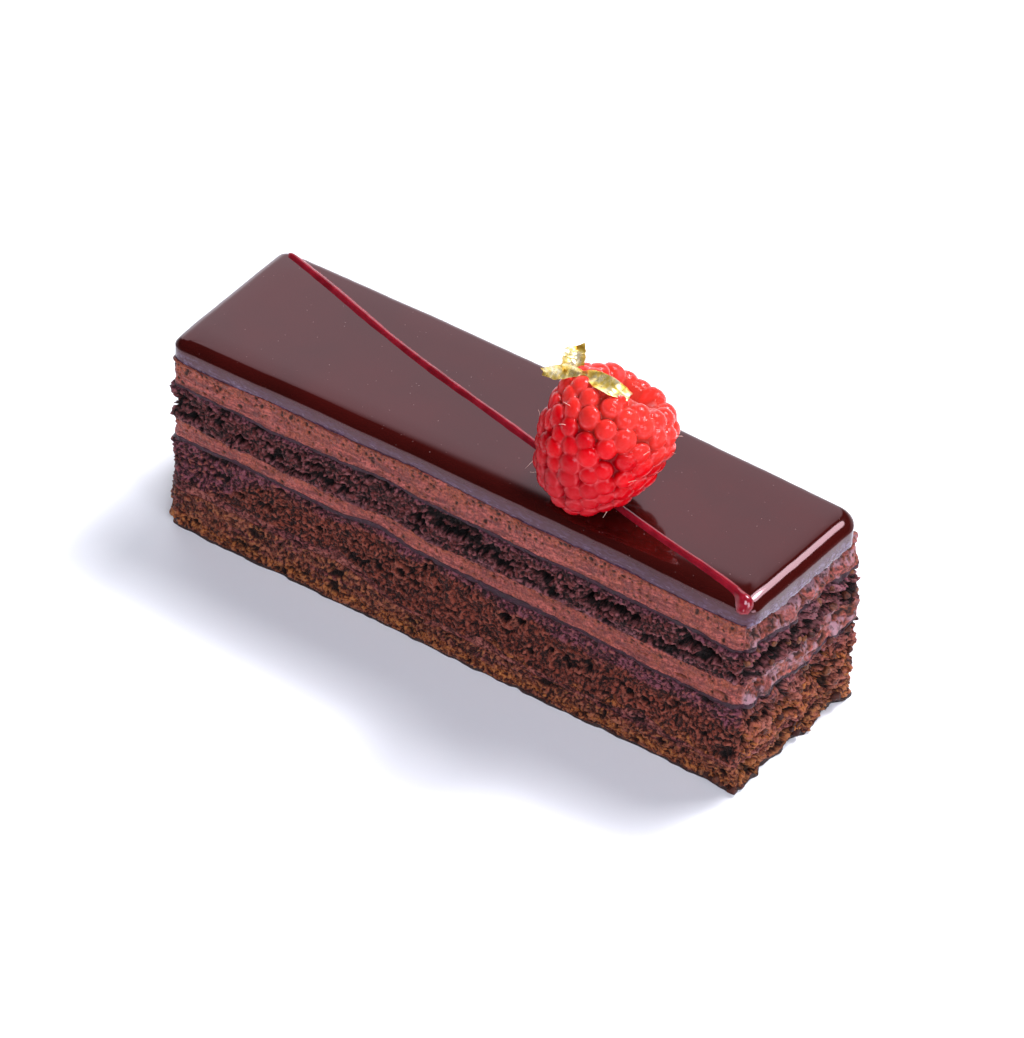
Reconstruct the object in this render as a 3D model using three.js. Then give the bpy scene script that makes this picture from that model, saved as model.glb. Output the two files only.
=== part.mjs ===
// Bar-shaped slice of a layered sponge and ganache entremet under a mirror glaze, with a raised line of
// red coulis across its top, one raspberry and a crumpled scrap of gold leaf on the berry.
// Millimetres, +Z up: the long cut side faces -Y, the short cut end faces +X, the slice stands on z = 0,
// and the origin lies under the middle of the whole, berry included.

import * as THREE from "three";
import { mergeVertices } from "three/addons/utils/BufferGeometryUtils.js";

// Slice
const LENGTH = 100.65; // halfway across the width, before its right end is moved out
const WIDTH = 28;
const HEIGHT = 34.8; // to the flat top of the glaze, halfway along
const TOP_FALL = 0.7; // by which that top falls from the left end to the right one
const END_STRETCH = 0.7; // how far the right end is moved out
const END_SKEW = 1.3; // and it is cut out of square: its back corner stands this much further out
const CAKE_CORNER = 1.2; // corner radius of the cut sides in plan
const LAYER_GAP = 0.06; // clearance that keeps two neighbouring layers apart
const LAYER_SEED = 100; // keeps the scatter of one layer apart from the next
const PORE_SEED = 50; // and its pores apart from its other roughness
const BACK_SHARE = 0.35; // share of a swell on the front side that reaches the back side

// Steps round the slice
const LONG_STEPS = 36;
const END_STEPS = 9;
const CORNER_STEPS = 2;
const HUB_INSET = 7; // from each end to the point where the end of a layer's face fans out
const FAN_STEPS = 5; // steps of the long sides that belong to that fan

// Glaze
const GLAZE_OVERHANG = 0.2; // how far it stands out over the cut sides
const GLAZE_LIP = 0.2; // how far its lower edge hangs down in front of them
const GLAZE_CORNER = 2.4;
const GLAZE_ROUNDING = 2; // radius of its rounded top edge
const GLAZE_ARC_STEPS = 4;

// Coulis line, on its way from the back left corner of the glaze to the front right one
const COULIS_ROUTE = [
  [-48.2, 12.4], [-38.1, 9.3], [-25.7, 5.3], [-14, 2], [1, -1.5],
  [27, -7.9], [41, -10.7], [46.8, -12], [49.7, -13.6],
];
const COULIS_WIDTH = 1.5;
const COULIS_HEIGHT = 0.8;
const COULIS_DROP = 0.45; // share by which the drop at its front end is wider
const COULIS_DROP_REACH = 0.04; // share of its length that the drop takes
const COULIS_GAP = 0.2; // clearance over the glaze
const COULIS_STEPS = 44;
const COULIS_SIDES = 6;
const COULIS_TIP = 0.4; // width share at which both ends are cut off

// Raspberry, leaning on its apex on the coulis line, with its stem end up, back and to the right
const BERRY_PLACE = [20.9, -6.5]; // above this point of the glaze
const BERRY_APEX_DIRECTION = new THREE.Vector3(-0.33, -0.62, -0.715).normalize();
const BERRY_RADIUS = 8.9; // to the hollows between its drupelets
const BERRY_HALF_LENGTH = 9.9;
const BERRY_APEX_POWER = 1.75; // below 2 the apex end is more conical than an ellipse
const BERRY_STEM_POWER = 2.9; // above 2 the stem end is squarer
const BERRY_DETAIL = 13;
const BERRY_SINK = 0.8; // how far its soft underside is pressed in by what it rests on
const BERRY_CLEARANCE = 0.3;
const BERRY_GROOVE = 3; // half the width of the groove that the coulis line presses into it
const DRUPELET_SPACING = 3.7;
const DRUPELET_DOME = 2.0; // radius of one drupelet's dome on the skin
const DRUPELET_RISE = 1.1;
const DRUPELET_FIRST_RING = 0.22; // polar angle of the ring round the stem end, as a share of half a turn
const DRUPELET_RINGS = 8; // the last one is the single drupelet at the apex
const DRUPELET_JITTER = 0.17;
const STEM_HOLLOW_ANGLE = 0.155; // rim of the hollow that the stem left, as a share of half a turn
const STEM_HOLLOW_DEPTH = 6;

// Gold leaf, placed from the middle of the berry
const LEAF_THICKNESS = 0.2;
const LEAF_CRUMPLE = 0.2;
const LEAF_STEPS = 8;
const LEAF_ROWS = 3;
const LEAF_STRIP = {
  route: [[-9.0, -1.6, 8.9], [-6.6, -1.7, 9.7], [-2.4, -2.2, 11.5], [2.2, -2.6, 12.0], [5.6, -0.7, 11.3]],
  widths: [0.8, 1.4, 1.8, 2.6, 1.0],
  facing: new THREE.Vector3(0.15, -0.6, 1),
};
const LEAF_FLAP = {
  route: [[-5.2, -0.4, 11.2], [-5.4, 0.2, 12.5], [-5.9, 0.9, 14.0]],
  widths: [2.6, 3.0, 2.2],
  facing: new THREE.Vector3(0.43, -0.8, 0.4),
};

// Upper boundary of each layer, from the bottom up. A boundary lies at height at the middle of the slice,
// falls by fall from the left end to the right one, and has swells of the given rise, each within reach of
// the place at, and may stand higher to the left of a step.
const BOUNDARIES = {
  floor: { height: 0, fall: 0, swells: [] },
  chocolate_base: { height: 0.6, fall: 0, swells: [] },
  sponge_bottom: {
    height: 4.7,
    fall: 1.0,
    step: { from: -17, to: -9.5, rise: 2.3 },
    swells: [{ at: -20.5, rise: 0.5, reach: 4 }],
  },
  ganache_bottom: {
    height: 5.35,
    fall: 1.0,
    step: { from: -17, to: -9.5, rise: 3.1 },
    swells: [
      { at: -20.5, rise: 1.2, reach: 4 },
      { at: 6, rise: 1.0, reach: 4.5 },
      { at: 33, rise: 1.7, reach: 5.5 },
    ],
  },
  sponge_middle: {
    height: 16.3,
    fall: 2.0,
    swells: [
      { at: -50, rise: -0.9, reach: 15 },
      { at: -13, rise: 1.0, reach: 7 },
      { at: 9, rise: -0.6, reach: 9 },
      { at: 38, rise: -0.4, reach: 16 },
    ],
  },
  jam_middle: {
    height: 16.95,
    fall: 2.0,
    swells: [
      { at: -50, rise: -0.8, reach: 15 },
      { at: -13, rise: 1.1, reach: 7 },
      { at: 38, rise: -0.5, reach: 16 },
    ],
  },
  ganache_middle: {
    height: 19.8,
    fall: 0.2,
    swells: [
      { at: -48, rise: 0.4, reach: 8 },
      { at: -11, rise: 0.6, reach: 5 },
      { at: -4, rise: -0.4, reach: 4 },
    ],
  },
  sponge_top: {
    height: 26.1,
    fall: 0.8,
    swells: [
      { at: -32, rise: -0.5, reach: 8 },
      { at: -12, rise: 0.6, reach: 11 },
      { at: 48, rise: -0.4, reach: 7 },
    ],
  },
  jam_top: {
    height: 26.65,
    fall: 0.7,
    swells: [
      { at: -32, rise: -0.5, reach: 8 },
      { at: -12, rise: 0.6, reach: 11 },
      { at: 25, rise: 0.3, reach: 12 },
      { at: 48, rise: -0.4, reach: 7 },
    ],
  },
  ganache_top: {
    height: 31.05,
    fall: 0.6,
    swells: [
      { at: -48, rise: -0.4, reach: 10 },
      { at: -4, rise: 0.6, reach: 20 },
    ],
  },
};

// How each layer's cut sides look: rows of points up the side, how far these stand out, how rough they are,
// and the share and depth of the open pores among them.
const SIDES = {
  chocolate_base: { rows: 1, stand: 0, rough: 0, poreShare: 0, poreDepth: 0 },
  sponge_bottom: { rows: 3, stand: 0.25, rough: 0.25, poreShare: 0.08, poreDepth: 0.5 },
  ganache_bottom: { rows: 2, stand: -0.1, rough: 0.1, poreShare: 0, poreDepth: 0 },
  sponge_middle: { rows: 6, stand: 0.1, rough: 0.4, poreShare: 0.12, poreDepth: 0.8 },
  jam_middle: { rows: 1, stand: 0, rough: 0, poreShare: 0, poreDepth: 0 },
  ganache_middle: { rows: 2, stand: -0.15, rough: 0.12, poreShare: 0.05, poreDepth: 0.5 },
  sponge_top: { rows: 5, stand: 0.3, rough: 0.5, poreShare: 0.2, poreDepth: 1.4 },
  jam_top: { rows: 1, stand: 0, rough: 0, poreShare: 0, poreDepth: 0 },
  ganache_top: { rows: 2, stand: -0.15, rough: 0.12, poreShare: 0.06, poreDepth: 0.4 },
};

const MATERIALS = {
  chocolate: { color: 0x3a211b, roughness: 0.5, metalness: 0 },
  sponge: { color: 0x6b4a33, roughness: 0.9, metalness: 0 },
  ganache: { color: 0xa9766a, roughness: 0.55, metalness: 0 },
  jam: { color: 0x6d4a5c, roughness: 0.35, metalness: 0 },
  glaze: { color: 0x4a1512, roughness: 0.05, metalness: 0 },
  coulis: { color: 0xa8141c, roughness: 0.1, metalness: 0 },
  raspberry: { color: 0xb01226, roughness: 0.35, metalness: 0 },
  gold: { color: 0xe0b04a, roughness: 0.25, metalness: 1 },
};

// Repeatable value between -1 and 1 for a pair of whole numbers.
function scatter(i, j) {
  const value = Math.sin(i * 127.1 + j * 311.7) * 43758.5453;
  return 2 * (value - Math.floor(value)) - 1;
}

// Height of a layer boundary at a point of the plan.
function boundaryHeight(boundary, x, y) {
  const share = THREE.MathUtils.lerp(1, BACK_SHARE, y / WIDTH + 0.5);
  let z = boundary.height - (boundary.fall * x) / LENGTH;
  for (const { at, rise, reach } of boundary.swells) {
    const distance = Math.min(Math.abs(x - at) / reach, 1);
    z += (share * rise * (1 + Math.cos(Math.PI * distance))) / 2;
  }
  if (boundary.step) {
    const { from, to, rise } = boundary.step;
    z += rise * (1 - THREE.MathUtils.smoothstep(x, from, to));
  }
  return z;
}

// How far the right end stands out beyond the square plan.
function endShift(y) {
  return END_STRETCH + (END_SKEW * y) / WIDTH;
}

// Moves a point of the square plan to the plan with its skewed right end, and back.
function skewed(x, y) {
  return x + endShift(y) * (x / LENGTH + 0.5);
}

function unskewed(x, y) {
  return (x - endShift(y) / 2) / (1 + endShift(y) / LENGTH);
}

// Height of the flat top of the glaze.
function topHeight(x) {
  return HEIGHT - (TOP_FALL * x) / LENGTH;
}

// Rounded rectangle of the plan as points that run anticlockwise from the front left corner. The points of
// two outlines with different radii or offsets belong together one by one.
function outline(cornerRadius, offset) {
  const radius = cornerRadius + offset;
  const x = LENGTH / 2 - cornerRadius;
  const y = WIDTH / 2 - cornerRadius;
  const centres = [[x, -y], [x, y], [-x, y], [-x, -y]];
  const steps = [LONG_STEPS, END_STEPS, LONG_STEPS, END_STEPS];
  const points = [];
  for (let side = 0; side < 4; side += 1) {
    const [fromX, fromY] = centres[(side + 3) % 4];
    const [toX, toY] = centres[side];
    const outward = ((side - 1) * Math.PI) / 2;
    for (let k = 0; k <= steps[side]; k += 1) {
      const along = k / steps[side];
      points.push([
        THREE.MathUtils.lerp(fromX, toX, along) + radius * Math.cos(outward),
        THREE.MathUtils.lerp(fromY, toY, along) + radius * Math.sin(outward),
      ]);
    }
    for (let k = 1; k < CORNER_STEPS; k += 1) {
      const angle = outward + (k / CORNER_STEPS) * (Math.PI / 2);
      points.push([toX + radius * Math.cos(angle), toY + radius * Math.sin(angle)]);
    }
  }
  return points.map(([px, py]) => new THREE.Vector2(skewed(px, py), py));
}

// Geometry of a closed solid from its corner points and the triangles between them.
function solid(vertices, triangles) {
  const geometry = new THREE.BufferGeometry();
  const coordinates = vertices.flatMap((vertex) => vertex.toArray());
  geometry.setAttribute("position", new THREE.Float32BufferAttribute(coordinates, 3));
  geometry.setIndex(triangles.flat());
  geometry.computeVertexNormals();
  return geometry;
}

// Triangles of a face that closes the slice's outline: rungs from the front side to the back side, and at
// each end a fan round a hub. The face looks up.
function faceTriangles(ring, leftHub, rightHub) {
  const backFirst = LONG_STEPS + END_STEPS + 2 * CORNER_STEPS;
  const count = 2 * backFirst;
  const front = (k) => ring(k);
  const back = (k) => ring(backFirst + LONG_STEPS - k);
  const last = LONG_STEPS - FAN_STEPS;
  const triangles = [
    [leftHub, front(FAN_STEPS), back(FAN_STEPS)],
    [rightHub, back(last), front(last)],
  ];
  for (let k = FAN_STEPS; k < last; k += 1) {
    triangles.push([front(k), front(k + 1), back(k + 1)], [front(k), back(k + 1), back(k)]);
  }
  for (let k = last; k < backFirst + FAN_STEPS; k += 1) {
    triangles.push([rightHub, ring(k), ring(k + 1)]);
  }
  for (let k = backFirst + last; k < count + FAN_STEPS; k += 1) {
    triangles.push([leftHub, ring(k % count), ring((k + 1) % count)]);
  }
  return triangles;
}

// Solid stacked from rings of equal count, closed below and above by faces whose hubs have given heights.
function stackedSolid(rings, hubHeight) {
  const count = rings[0].length;
  const vertices = rings.flat();
  const triangles = [];
  for (let j = 0; j + 1 < rings.length; j += 1) {
    for (let i = 0; i < count; i += 1) {
      const next = (i + 1) % count;
      const low = j * count;
      const high = low + count;
      triangles.push([low + i, low + next, high + next], [low + i, high + next, high + i]);
    }
  }
  for (const top of [false, true]) {
    const first = top ? (rings.length - 1) * count : 0;
    const hubs = [-1, 1].map((end) => {
      const x = end * (LENGTH / 2 - HUB_INSET);
      vertices.push(new THREE.Vector3(x, 0, hubHeight(x, 0, top)));
      return vertices.length - 1;
    });
    const face = faceTriangles((i) => first + i, hubs[0], hubs[1]);
    triangles.push(...(top ? face : face.map((corners) => [...corners].reverse())));
  }
  return solid(vertices, triangles);
}

// One layer of the slice between the boundary below it and its own.
function layerGeometry(name) {
  const names = Object.keys(BOUNDARIES);
  const place = names.indexOf(name);
  const lower = BOUNDARIES[names[place - 1]];
  const upper = BOUNDARIES[name];
  const floorGap = place === 1 ? 0 : LAYER_GAP / 2;
  const low = (x, y) => boundaryHeight(lower, x, y) + floorGap;
  const high = (x, y) => boundaryHeight(upper, x, y) - LAYER_GAP / 2;
  const { rows, stand, rough, poreShare, poreDepth } = SIDES[name];
  const inner = outline(CAKE_CORNER, 0);
  const outer = outline(CAKE_CORNER, 1);
  const rings = [];
  for (let row = 0; row <= rows; row += 1) {
    const edge = row === 0 || row === rows;
    rings.push(inner.map((point, i) => {
      const pore = scatter(i, row + PORE_SEED + LAYER_SEED * place) > 1 - 2 * poreShare;
      const relief = stand + rough * scatter(i, row + LAYER_SEED * place) - (pore ? poreDepth : 0);
      const { x, y } = point.clone().lerp(outer[i], edge ? 0 : relief);
      const z = THREE.MathUtils.lerp(low(point.x, point.y), high(point.x, point.y), row / rows);
      return new THREE.Vector3(x, y, z);
    }));
  }
  return stackedSolid(rings, (x, y, top) => (top ? high(x, y) : low(x, y)));
}

// The glaze: its underside follows the top layer, its lip hangs over the cut sides, its top edge is rounded.
function glazeGeometry() {
  const under = (x, y) => boundaryHeight(BOUNDARIES.ganache_top, x, y) + LAYER_GAP / 2;
  const cake = outline(CAKE_CORNER, 0);
  const lip = outline(GLAZE_CORNER, GLAZE_OVERHANG);
  const rings = [
    cake.map(({ x, y }) => new THREE.Vector3(x, y, under(x, y))),
    lip.map(({ x, y }) => new THREE.Vector3(x, y, under(x, y) - GLAZE_LIP)),
  ];
  for (let k = 0; k <= GLAZE_ARC_STEPS; k += 1) {
    const angle = (k / GLAZE_ARC_STEPS) * (Math.PI / 2);
    const offset = GLAZE_OVERHANG - GLAZE_ROUNDING * (1 - Math.cos(angle));
    const drop = GLAZE_ROUNDING * (1 - Math.sin(angle));
    rings.push(outline(GLAZE_CORNER, offset).map(({ x, y }) => new THREE.Vector3(x, y, topHeight(x) - drop)));
  }
  return stackedSolid(rings, (x, y, top) => (top ? topHeight(x) : under(x, y)));
}

// Height of the glaze's top over a point of the plan, with its rounded edge.
function glazeTop(x, y) {
  const inset = GLAZE_ROUNDING - GLAZE_OVERHANG;
  const beyondX = Math.max(Math.abs(unskewed(x, y)) - (LENGTH / 2 - inset), 0);
  const beyondY = Math.max(Math.abs(y) - (WIDTH / 2 - inset), 0);
  const beyond = Math.min(Math.hypot(beyondX, beyondY), GLAZE_ROUNDING);
  return topHeight(x) - GLAZE_ROUNDING + Math.sqrt(GLAZE_ROUNDING ** 2 - beyond ** 2);
}

function coulisRoute() {
  return new THREE.CatmullRomCurve3(COULIS_ROUTE.map(([x, y]) => new THREE.Vector3(x, y, 0)));
}

// The coulis line: a half-round bead that lies on the glaze and ends in a drop at the front corner. Its
// steps are finer towards its ends, where it bends down over the rounded edge.
function coulisGeometry() {
  const route = coulisRoute();
  const vertices = [];
  const triangles = [];
  const ringCount = COULIS_SIDES + 2;
  const lift = (x, y, rise) => new THREE.Vector3(x, y, glazeTop(x, y) + COULIS_GAP + rise);
  for (let step = 0; step <= COULIS_STEPS; step += 1) {
    const share = (1 - Math.cos((step / COULIS_STEPS) * Math.PI)) / 2;
    const centre = route.getPointAt(share);
    const tangent = route.getTangentAt(share);
    const across = new THREE.Vector3(tangent.y, -tangent.x, 0);
    const drop = 1 + COULIS_DROP * THREE.MathUtils.smoothstep(share, 1 - 2 * COULIS_DROP_REACH, 1);
    const size = drop * (step === 0 || step === COULIS_STEPS ? COULIS_TIP : 1);
    for (let k = 0; k <= COULIS_SIDES; k += 1) {
      const angle = (k / COULIS_SIDES) * Math.PI;
      const point = centre.clone().addScaledVector(across, (COULIS_WIDTH / 2) * size * Math.cos(angle));
      vertices.push(lift(point.x, point.y, COULIS_HEIGHT * size * Math.sin(angle)));
    }
    vertices.push(lift(centre.x, centre.y, 0));
  }
  for (let step = 0; step < COULIS_STEPS; step += 1) {
    for (let k = 0; k < ringCount; k += 1) {
      const here = step * ringCount;
      const there = here + ringCount;
      const next = (k + 1) % ringCount;
      triangles.push([here + k, there + k, there + next], [here + k, there + next, here + next]);
    }
  }
  const lastRing = COULIS_STEPS * ringCount;
  for (let k = 1; k + 1 < ringCount; k += 1) {
    triangles.push([0, k, k + 1], [lastRing, lastRing + k + 1, lastRing + k]);
  }
  return solid(vertices, triangles);
}

// Directions of the drupelets from the middle of the berry, ring by ring from the stem end to the apex, +Z.
function drupeletDirections() {
  const directions = [];
  for (let ring = 0; ring < DRUPELET_RINGS; ring += 1) {
    const polar = Math.PI * THREE.MathUtils.lerp(DRUPELET_FIRST_RING, 1, ring / (DRUPELET_RINGS - 1));
    const around = 2 * Math.PI * berryRadius(-Math.cos(polar)) * Math.sin(polar);
    const count = Math.max(1, Math.round(around / DRUPELET_SPACING));
    for (let k = 0; k < count; k += 1) {
      const turn = ((k + 0.5 * (ring % 2) + DRUPELET_JITTER * scatter(ring, k)) / count) * 2 * Math.PI;
      const angle = polar + (DRUPELET_JITTER * scatter(ring + 20, k) * DRUPELET_SPACING) / BERRY_RADIUS;
      const level = new THREE.Vector3(Math.cos(turn), Math.sin(turn), 0);
      directions.push(level.multiplyScalar(Math.sin(angle)).setZ(-Math.cos(angle)));
    }
  }
  return directions;
}

// Distance from the middle of the berry to its skin below the drupelets, in a direction at the given cosine
// to the apex.
function berryRadius(cosine) {
  const sine = Math.sqrt(1 - cosine ** 2);
  const apexShare = THREE.MathUtils.smoothstep(cosine, -0.5, 0.5);
  const power = THREE.MathUtils.lerp(BERRY_STEM_POWER, BERRY_APEX_POWER, apexShare);
  return ((Math.abs(cosine) / BERRY_HALF_LENGTH) ** power + (sine / BERRY_RADIUS) ** power) ** (-1 / power);
}

// Lowest height that the pressed underside of the berry may have over a point of the glaze.
function berryFloor(x, y, coulisPoints) {
  const point = new THREE.Vector3(x, y, 0);
  const distance = Math.min(...coulisPoints.map((coulis) => coulis.distanceTo(point)));
  const groove = 1 - THREE.MathUtils.smoothstep(distance, COULIS_WIDTH / 2, BERRY_GROOVE);
  return glazeTop(x, y) + BERRY_CLEARANCE + groove * (COULIS_GAP + COULIS_HEIGHT);
}

// The raspberry: an egg-shaped body with a dome for each drupelet and a hollow at its stem end. It is turned
// to its lie, set down on the glaze and pressed in where it would sink into the glaze or the coulis line.
function raspberryGeometry() {
  const drupelets = drupeletDirections();
  const sphere = new THREE.IcosahedronGeometry(1, BERRY_DETAIL);
  sphere.deleteAttribute("normal");
  sphere.deleteAttribute("uv");
  const geometry = mergeVertices(sphere);
  const position = geometry.getAttribute("position");
  const point = new THREE.Vector3();
  for (let i = 0; i < position.count; i += 1) {
    point.fromBufferAttribute(position, i).normalize();
    const cosine = THREE.MathUtils.clamp(point.z, -1, 1);
    const skin = berryRadius(cosine);
    const nearest = Math.min(...drupelets.map((drupelet) => drupelet.angleTo(point)));
    const reach = Math.min((nearest * skin) / DRUPELET_DOME, 1);
    const fromStem = Math.min(Math.acos(-cosine) / (Math.PI * STEM_HOLLOW_ANGLE), 1);
    const hollow = STEM_HOLLOW_DEPTH * (1 - fromStem ** 2);
    point.multiplyScalar(skin + DRUPELET_RISE * Math.sqrt(1 - reach ** 2) - hollow);
    position.setXYZ(i, ...point);
  }
  geometry.applyQuaternion(
    new THREE.Quaternion().setFromUnitVectors(new THREE.Vector3(0, 0, 1), BERRY_APEX_DIRECTION),
  );
  geometry.computeBoundingBox();
  const middleHeight = topHeight(BERRY_PLACE[0]) + BERRY_CLEARANCE - BERRY_SINK - geometry.boundingBox.min.z;
  geometry.translate(...BERRY_PLACE, middleHeight);
  const coulisPoints = coulisRoute().getSpacedPoints(COULIS_STEPS * COULIS_SIDES);
  for (let i = 0; i < position.count; i += 1) {
    point.fromBufferAttribute(position, i);
    position.setZ(i, Math.max(point.z, berryFloor(point.x, point.y, coulisPoints)));
  }
  geometry.translate(...BERRY_PLACE.map((value) => -value), -middleHeight);
  geometry.computeVertexNormals();
  return { geometry, middle: new THREE.Vector3(...BERRY_PLACE, middleHeight) };
}

// A scrap of leaf: a thin crumpled sheet along a route, whose two faces have the same triangles.
function leafGeometry({ route, widths, facing }) {
  const path = new THREE.CatmullRomCurve3(route.map((point) => new THREE.Vector3(...point)));
  const width = new THREE.SplineCurve(widths.map((value, i) => new THREE.Vector2(i, value)));
  const faces = [[], []];
  for (let step = 0; step <= LEAF_STEPS; step += 1) {
    const share = step / LEAF_STEPS;
    const tangent = path.getTangent(share);
    const across = new THREE.Vector3().crossVectors(facing, tangent).normalize();
    const normal = new THREE.Vector3().crossVectors(tangent, across);
    for (let row = 0; row <= LEAF_ROWS; row += 1) {
      const sideways = width.getPoint(share).y * (row / LEAF_ROWS - 0.5);
      const point = path.getPoint(share).addScaledVector(across, sideways);
      point.addScaledVector(normal, LEAF_CRUMPLE * scatter(step + 300, row));
      faces[0].push(point);
      faces[1].push(point.clone().addScaledVector(normal, LEAF_THICKNESS));
    }
  }
  const rowCount = LEAF_ROWS + 1;
  const faceCount = faces[0].length;
  const triangles = [];
  for (let step = 0; step < LEAF_STEPS; step += 1) {
    for (let row = 0; row < LEAF_ROWS; row += 1) {
      const a = step * rowCount + row;
      const b = a + rowCount;
      triangles.push([a, a + 1, b + 1], [a, b + 1, b]);
      triangles.push([b + 1, a + 1, a].map((i) => i + faceCount), [b, b + 1, a].map((i) => i + faceCount));
    }
  }
  const rim = [];
  for (let row = 0; row < LEAF_ROWS; row += 1) rim.push(row);
  for (let step = 0; step < LEAF_STEPS; step += 1) rim.push(step * rowCount + LEAF_ROWS);
  for (let row = LEAF_ROWS; row > 0; row -= 1) rim.push(LEAF_STEPS * rowCount + row);
  for (let step = LEAF_STEPS; step > 0; step -= 1) rim.push(step * rowCount);
  rim.forEach((from, i) => {
    const to = rim[(i + 1) % rim.length];
    triangles.push([to, from, from + faceCount], [to, from + faceCount, to + faceCount]);
  });
  return solid(faces.flat(), triangles);
}

function piece(name, geometry, material) {
  const mesh = new THREE.Mesh(geometry, new THREE.MeshStandardMaterial(MATERIALS[material]));
  mesh.name = name;
  return mesh;
}

const slice = new THREE.Group();
for (const name of Object.keys(SIDES)) {
  slice.add(piece(name, layerGeometry(name), name.split("_")[0]));
}
slice.add(piece("glaze", glazeGeometry(), "glaze"));
slice.add(piece("coulis_line", coulisGeometry(), "coulis"));

const berry = raspberryGeometry();
const raspberry = piece("raspberry", berry.geometry, "raspberry");
raspberry.position.copy(berry.middle);
slice.add(raspberry);

for (const [name, scrap] of [["gold_leaf_strip", LEAF_STRIP], ["gold_leaf_flap", LEAF_FLAP]]) {
  const leaf = piece(name, leafGeometry(scrap), "gold");
  leaf.position.copy(berry.middle);
  slice.add(leaf);
}

const bounds = new THREE.Box3().setFromObject(slice, true);
const middle = bounds.getCenter(new THREE.Vector3());
slice.position.set(-middle.x, -middle.y, 0);

const entremet = new THREE.Group();
entremet.add(slice);

export default entremet;
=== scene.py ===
"""Looks of a layered entremet slice: crumb, ganache, jam, mirror glaze, coulis, raspberry and gold leaf.

Shapes are worked out in millimetres in the slice's own frame, whose origin lies under the middle of the
cake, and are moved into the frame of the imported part, in metres, when a mesh is made.
"""

import math

import bpy
import bmesh
import numpy as np
from mathutils import Matrix, Vector
from mathutils.bvhtree import BVHTree


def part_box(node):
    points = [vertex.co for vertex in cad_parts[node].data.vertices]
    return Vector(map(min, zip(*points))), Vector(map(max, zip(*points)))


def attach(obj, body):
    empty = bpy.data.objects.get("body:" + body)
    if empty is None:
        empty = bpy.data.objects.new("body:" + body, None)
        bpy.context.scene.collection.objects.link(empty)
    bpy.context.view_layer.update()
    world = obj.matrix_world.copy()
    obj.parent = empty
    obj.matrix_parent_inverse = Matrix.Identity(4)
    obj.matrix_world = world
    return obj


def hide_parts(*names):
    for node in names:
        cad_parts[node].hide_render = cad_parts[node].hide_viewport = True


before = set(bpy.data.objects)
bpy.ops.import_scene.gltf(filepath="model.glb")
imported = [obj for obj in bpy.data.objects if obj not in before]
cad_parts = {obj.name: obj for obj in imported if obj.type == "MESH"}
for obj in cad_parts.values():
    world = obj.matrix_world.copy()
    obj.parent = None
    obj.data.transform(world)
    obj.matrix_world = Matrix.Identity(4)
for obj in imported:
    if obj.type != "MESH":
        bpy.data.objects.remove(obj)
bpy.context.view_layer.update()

MM = 0.001

# Slice
LENGTH = 100.65  # before the right end is moved out
WIDTH = 28.0
HEIGHT = 35.15  # to the glaze's top, halfway along
TOP_CROWN = 0.7  # by which that top is lower at both ends
END_STRETCH = 0.7  # how far the right end is moved out
END_SKEW = 1.3  # its back corner stands this much further out than its front one
BACK_TAPER = 0.85  # at the right end the back side stands this much further in
CAKE_CORNER = 1.2  # radius of the cake's upright edges
BACK_SHARE = 0.35  # of the swells of the layers' boundaries, which fade towards the back side
TORN_REACH = (2.5, 0.6)  # from the right end: where boundaries begin to wobble, and where they do fully
SOLID_OVERHANG = 0.2  # of the solid glaze over the solid cake

# Glaze, at the right, back, left and front: how far it stands out over the cut sides, the radius of its
# edge, and how far its top sags towards that edge
GLAZE_OVERHANGS = np.array([0.3, 0.0, 0.45, -0.25])
EDGE_RADII = np.array([2.9, 1.5, 1.9, 2.1])
EDGE_SAGS = np.array([0.05, 0.1, 0.1, 0.5])
SAG_REACH = 5.0  # from the edge
GLAZE_CORNERS = (2.4, 3.6, 1.5, 2.0)  # front right, back right, back left and front left

# Its lip hangs down over the cut sides
GLAZE_LIP = 0.2
LIP_WIDTH = 0.35
LIP_TURN = 0.12
LIP_BEVEL = 0.1

# Its edge rounds over to a steep slope and turns sharply into an upright side
EDGE_SLOPE = math.radians(52)
EDGE_FILLET = 0.25

# Fineness of the meshes
CRUMB_PITCH = 0.165
GLAZE_PITCH = 0.4
GLAZE_SIDE_STEPS = 8
GLAZE_FILLET_STEPS = 5
GLAZE_ARC_STEPS = 14
GLAZE_TOP_INSETS = (2.8, 3.4, 4.1, 4.9, 5.8, 6.8, 8.2, 9.8, 11.4, 12.8)
RING_ROUNDING = 0.12  # of the short ends of the glaze's inner rings
CAP_STRIDE = 8  # points of a layer's rim to each point of the ring inside it
CAP_INSET = 3.0
LAYER_GAP = 0.01
THINNEST_LAYER = 0.12

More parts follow.
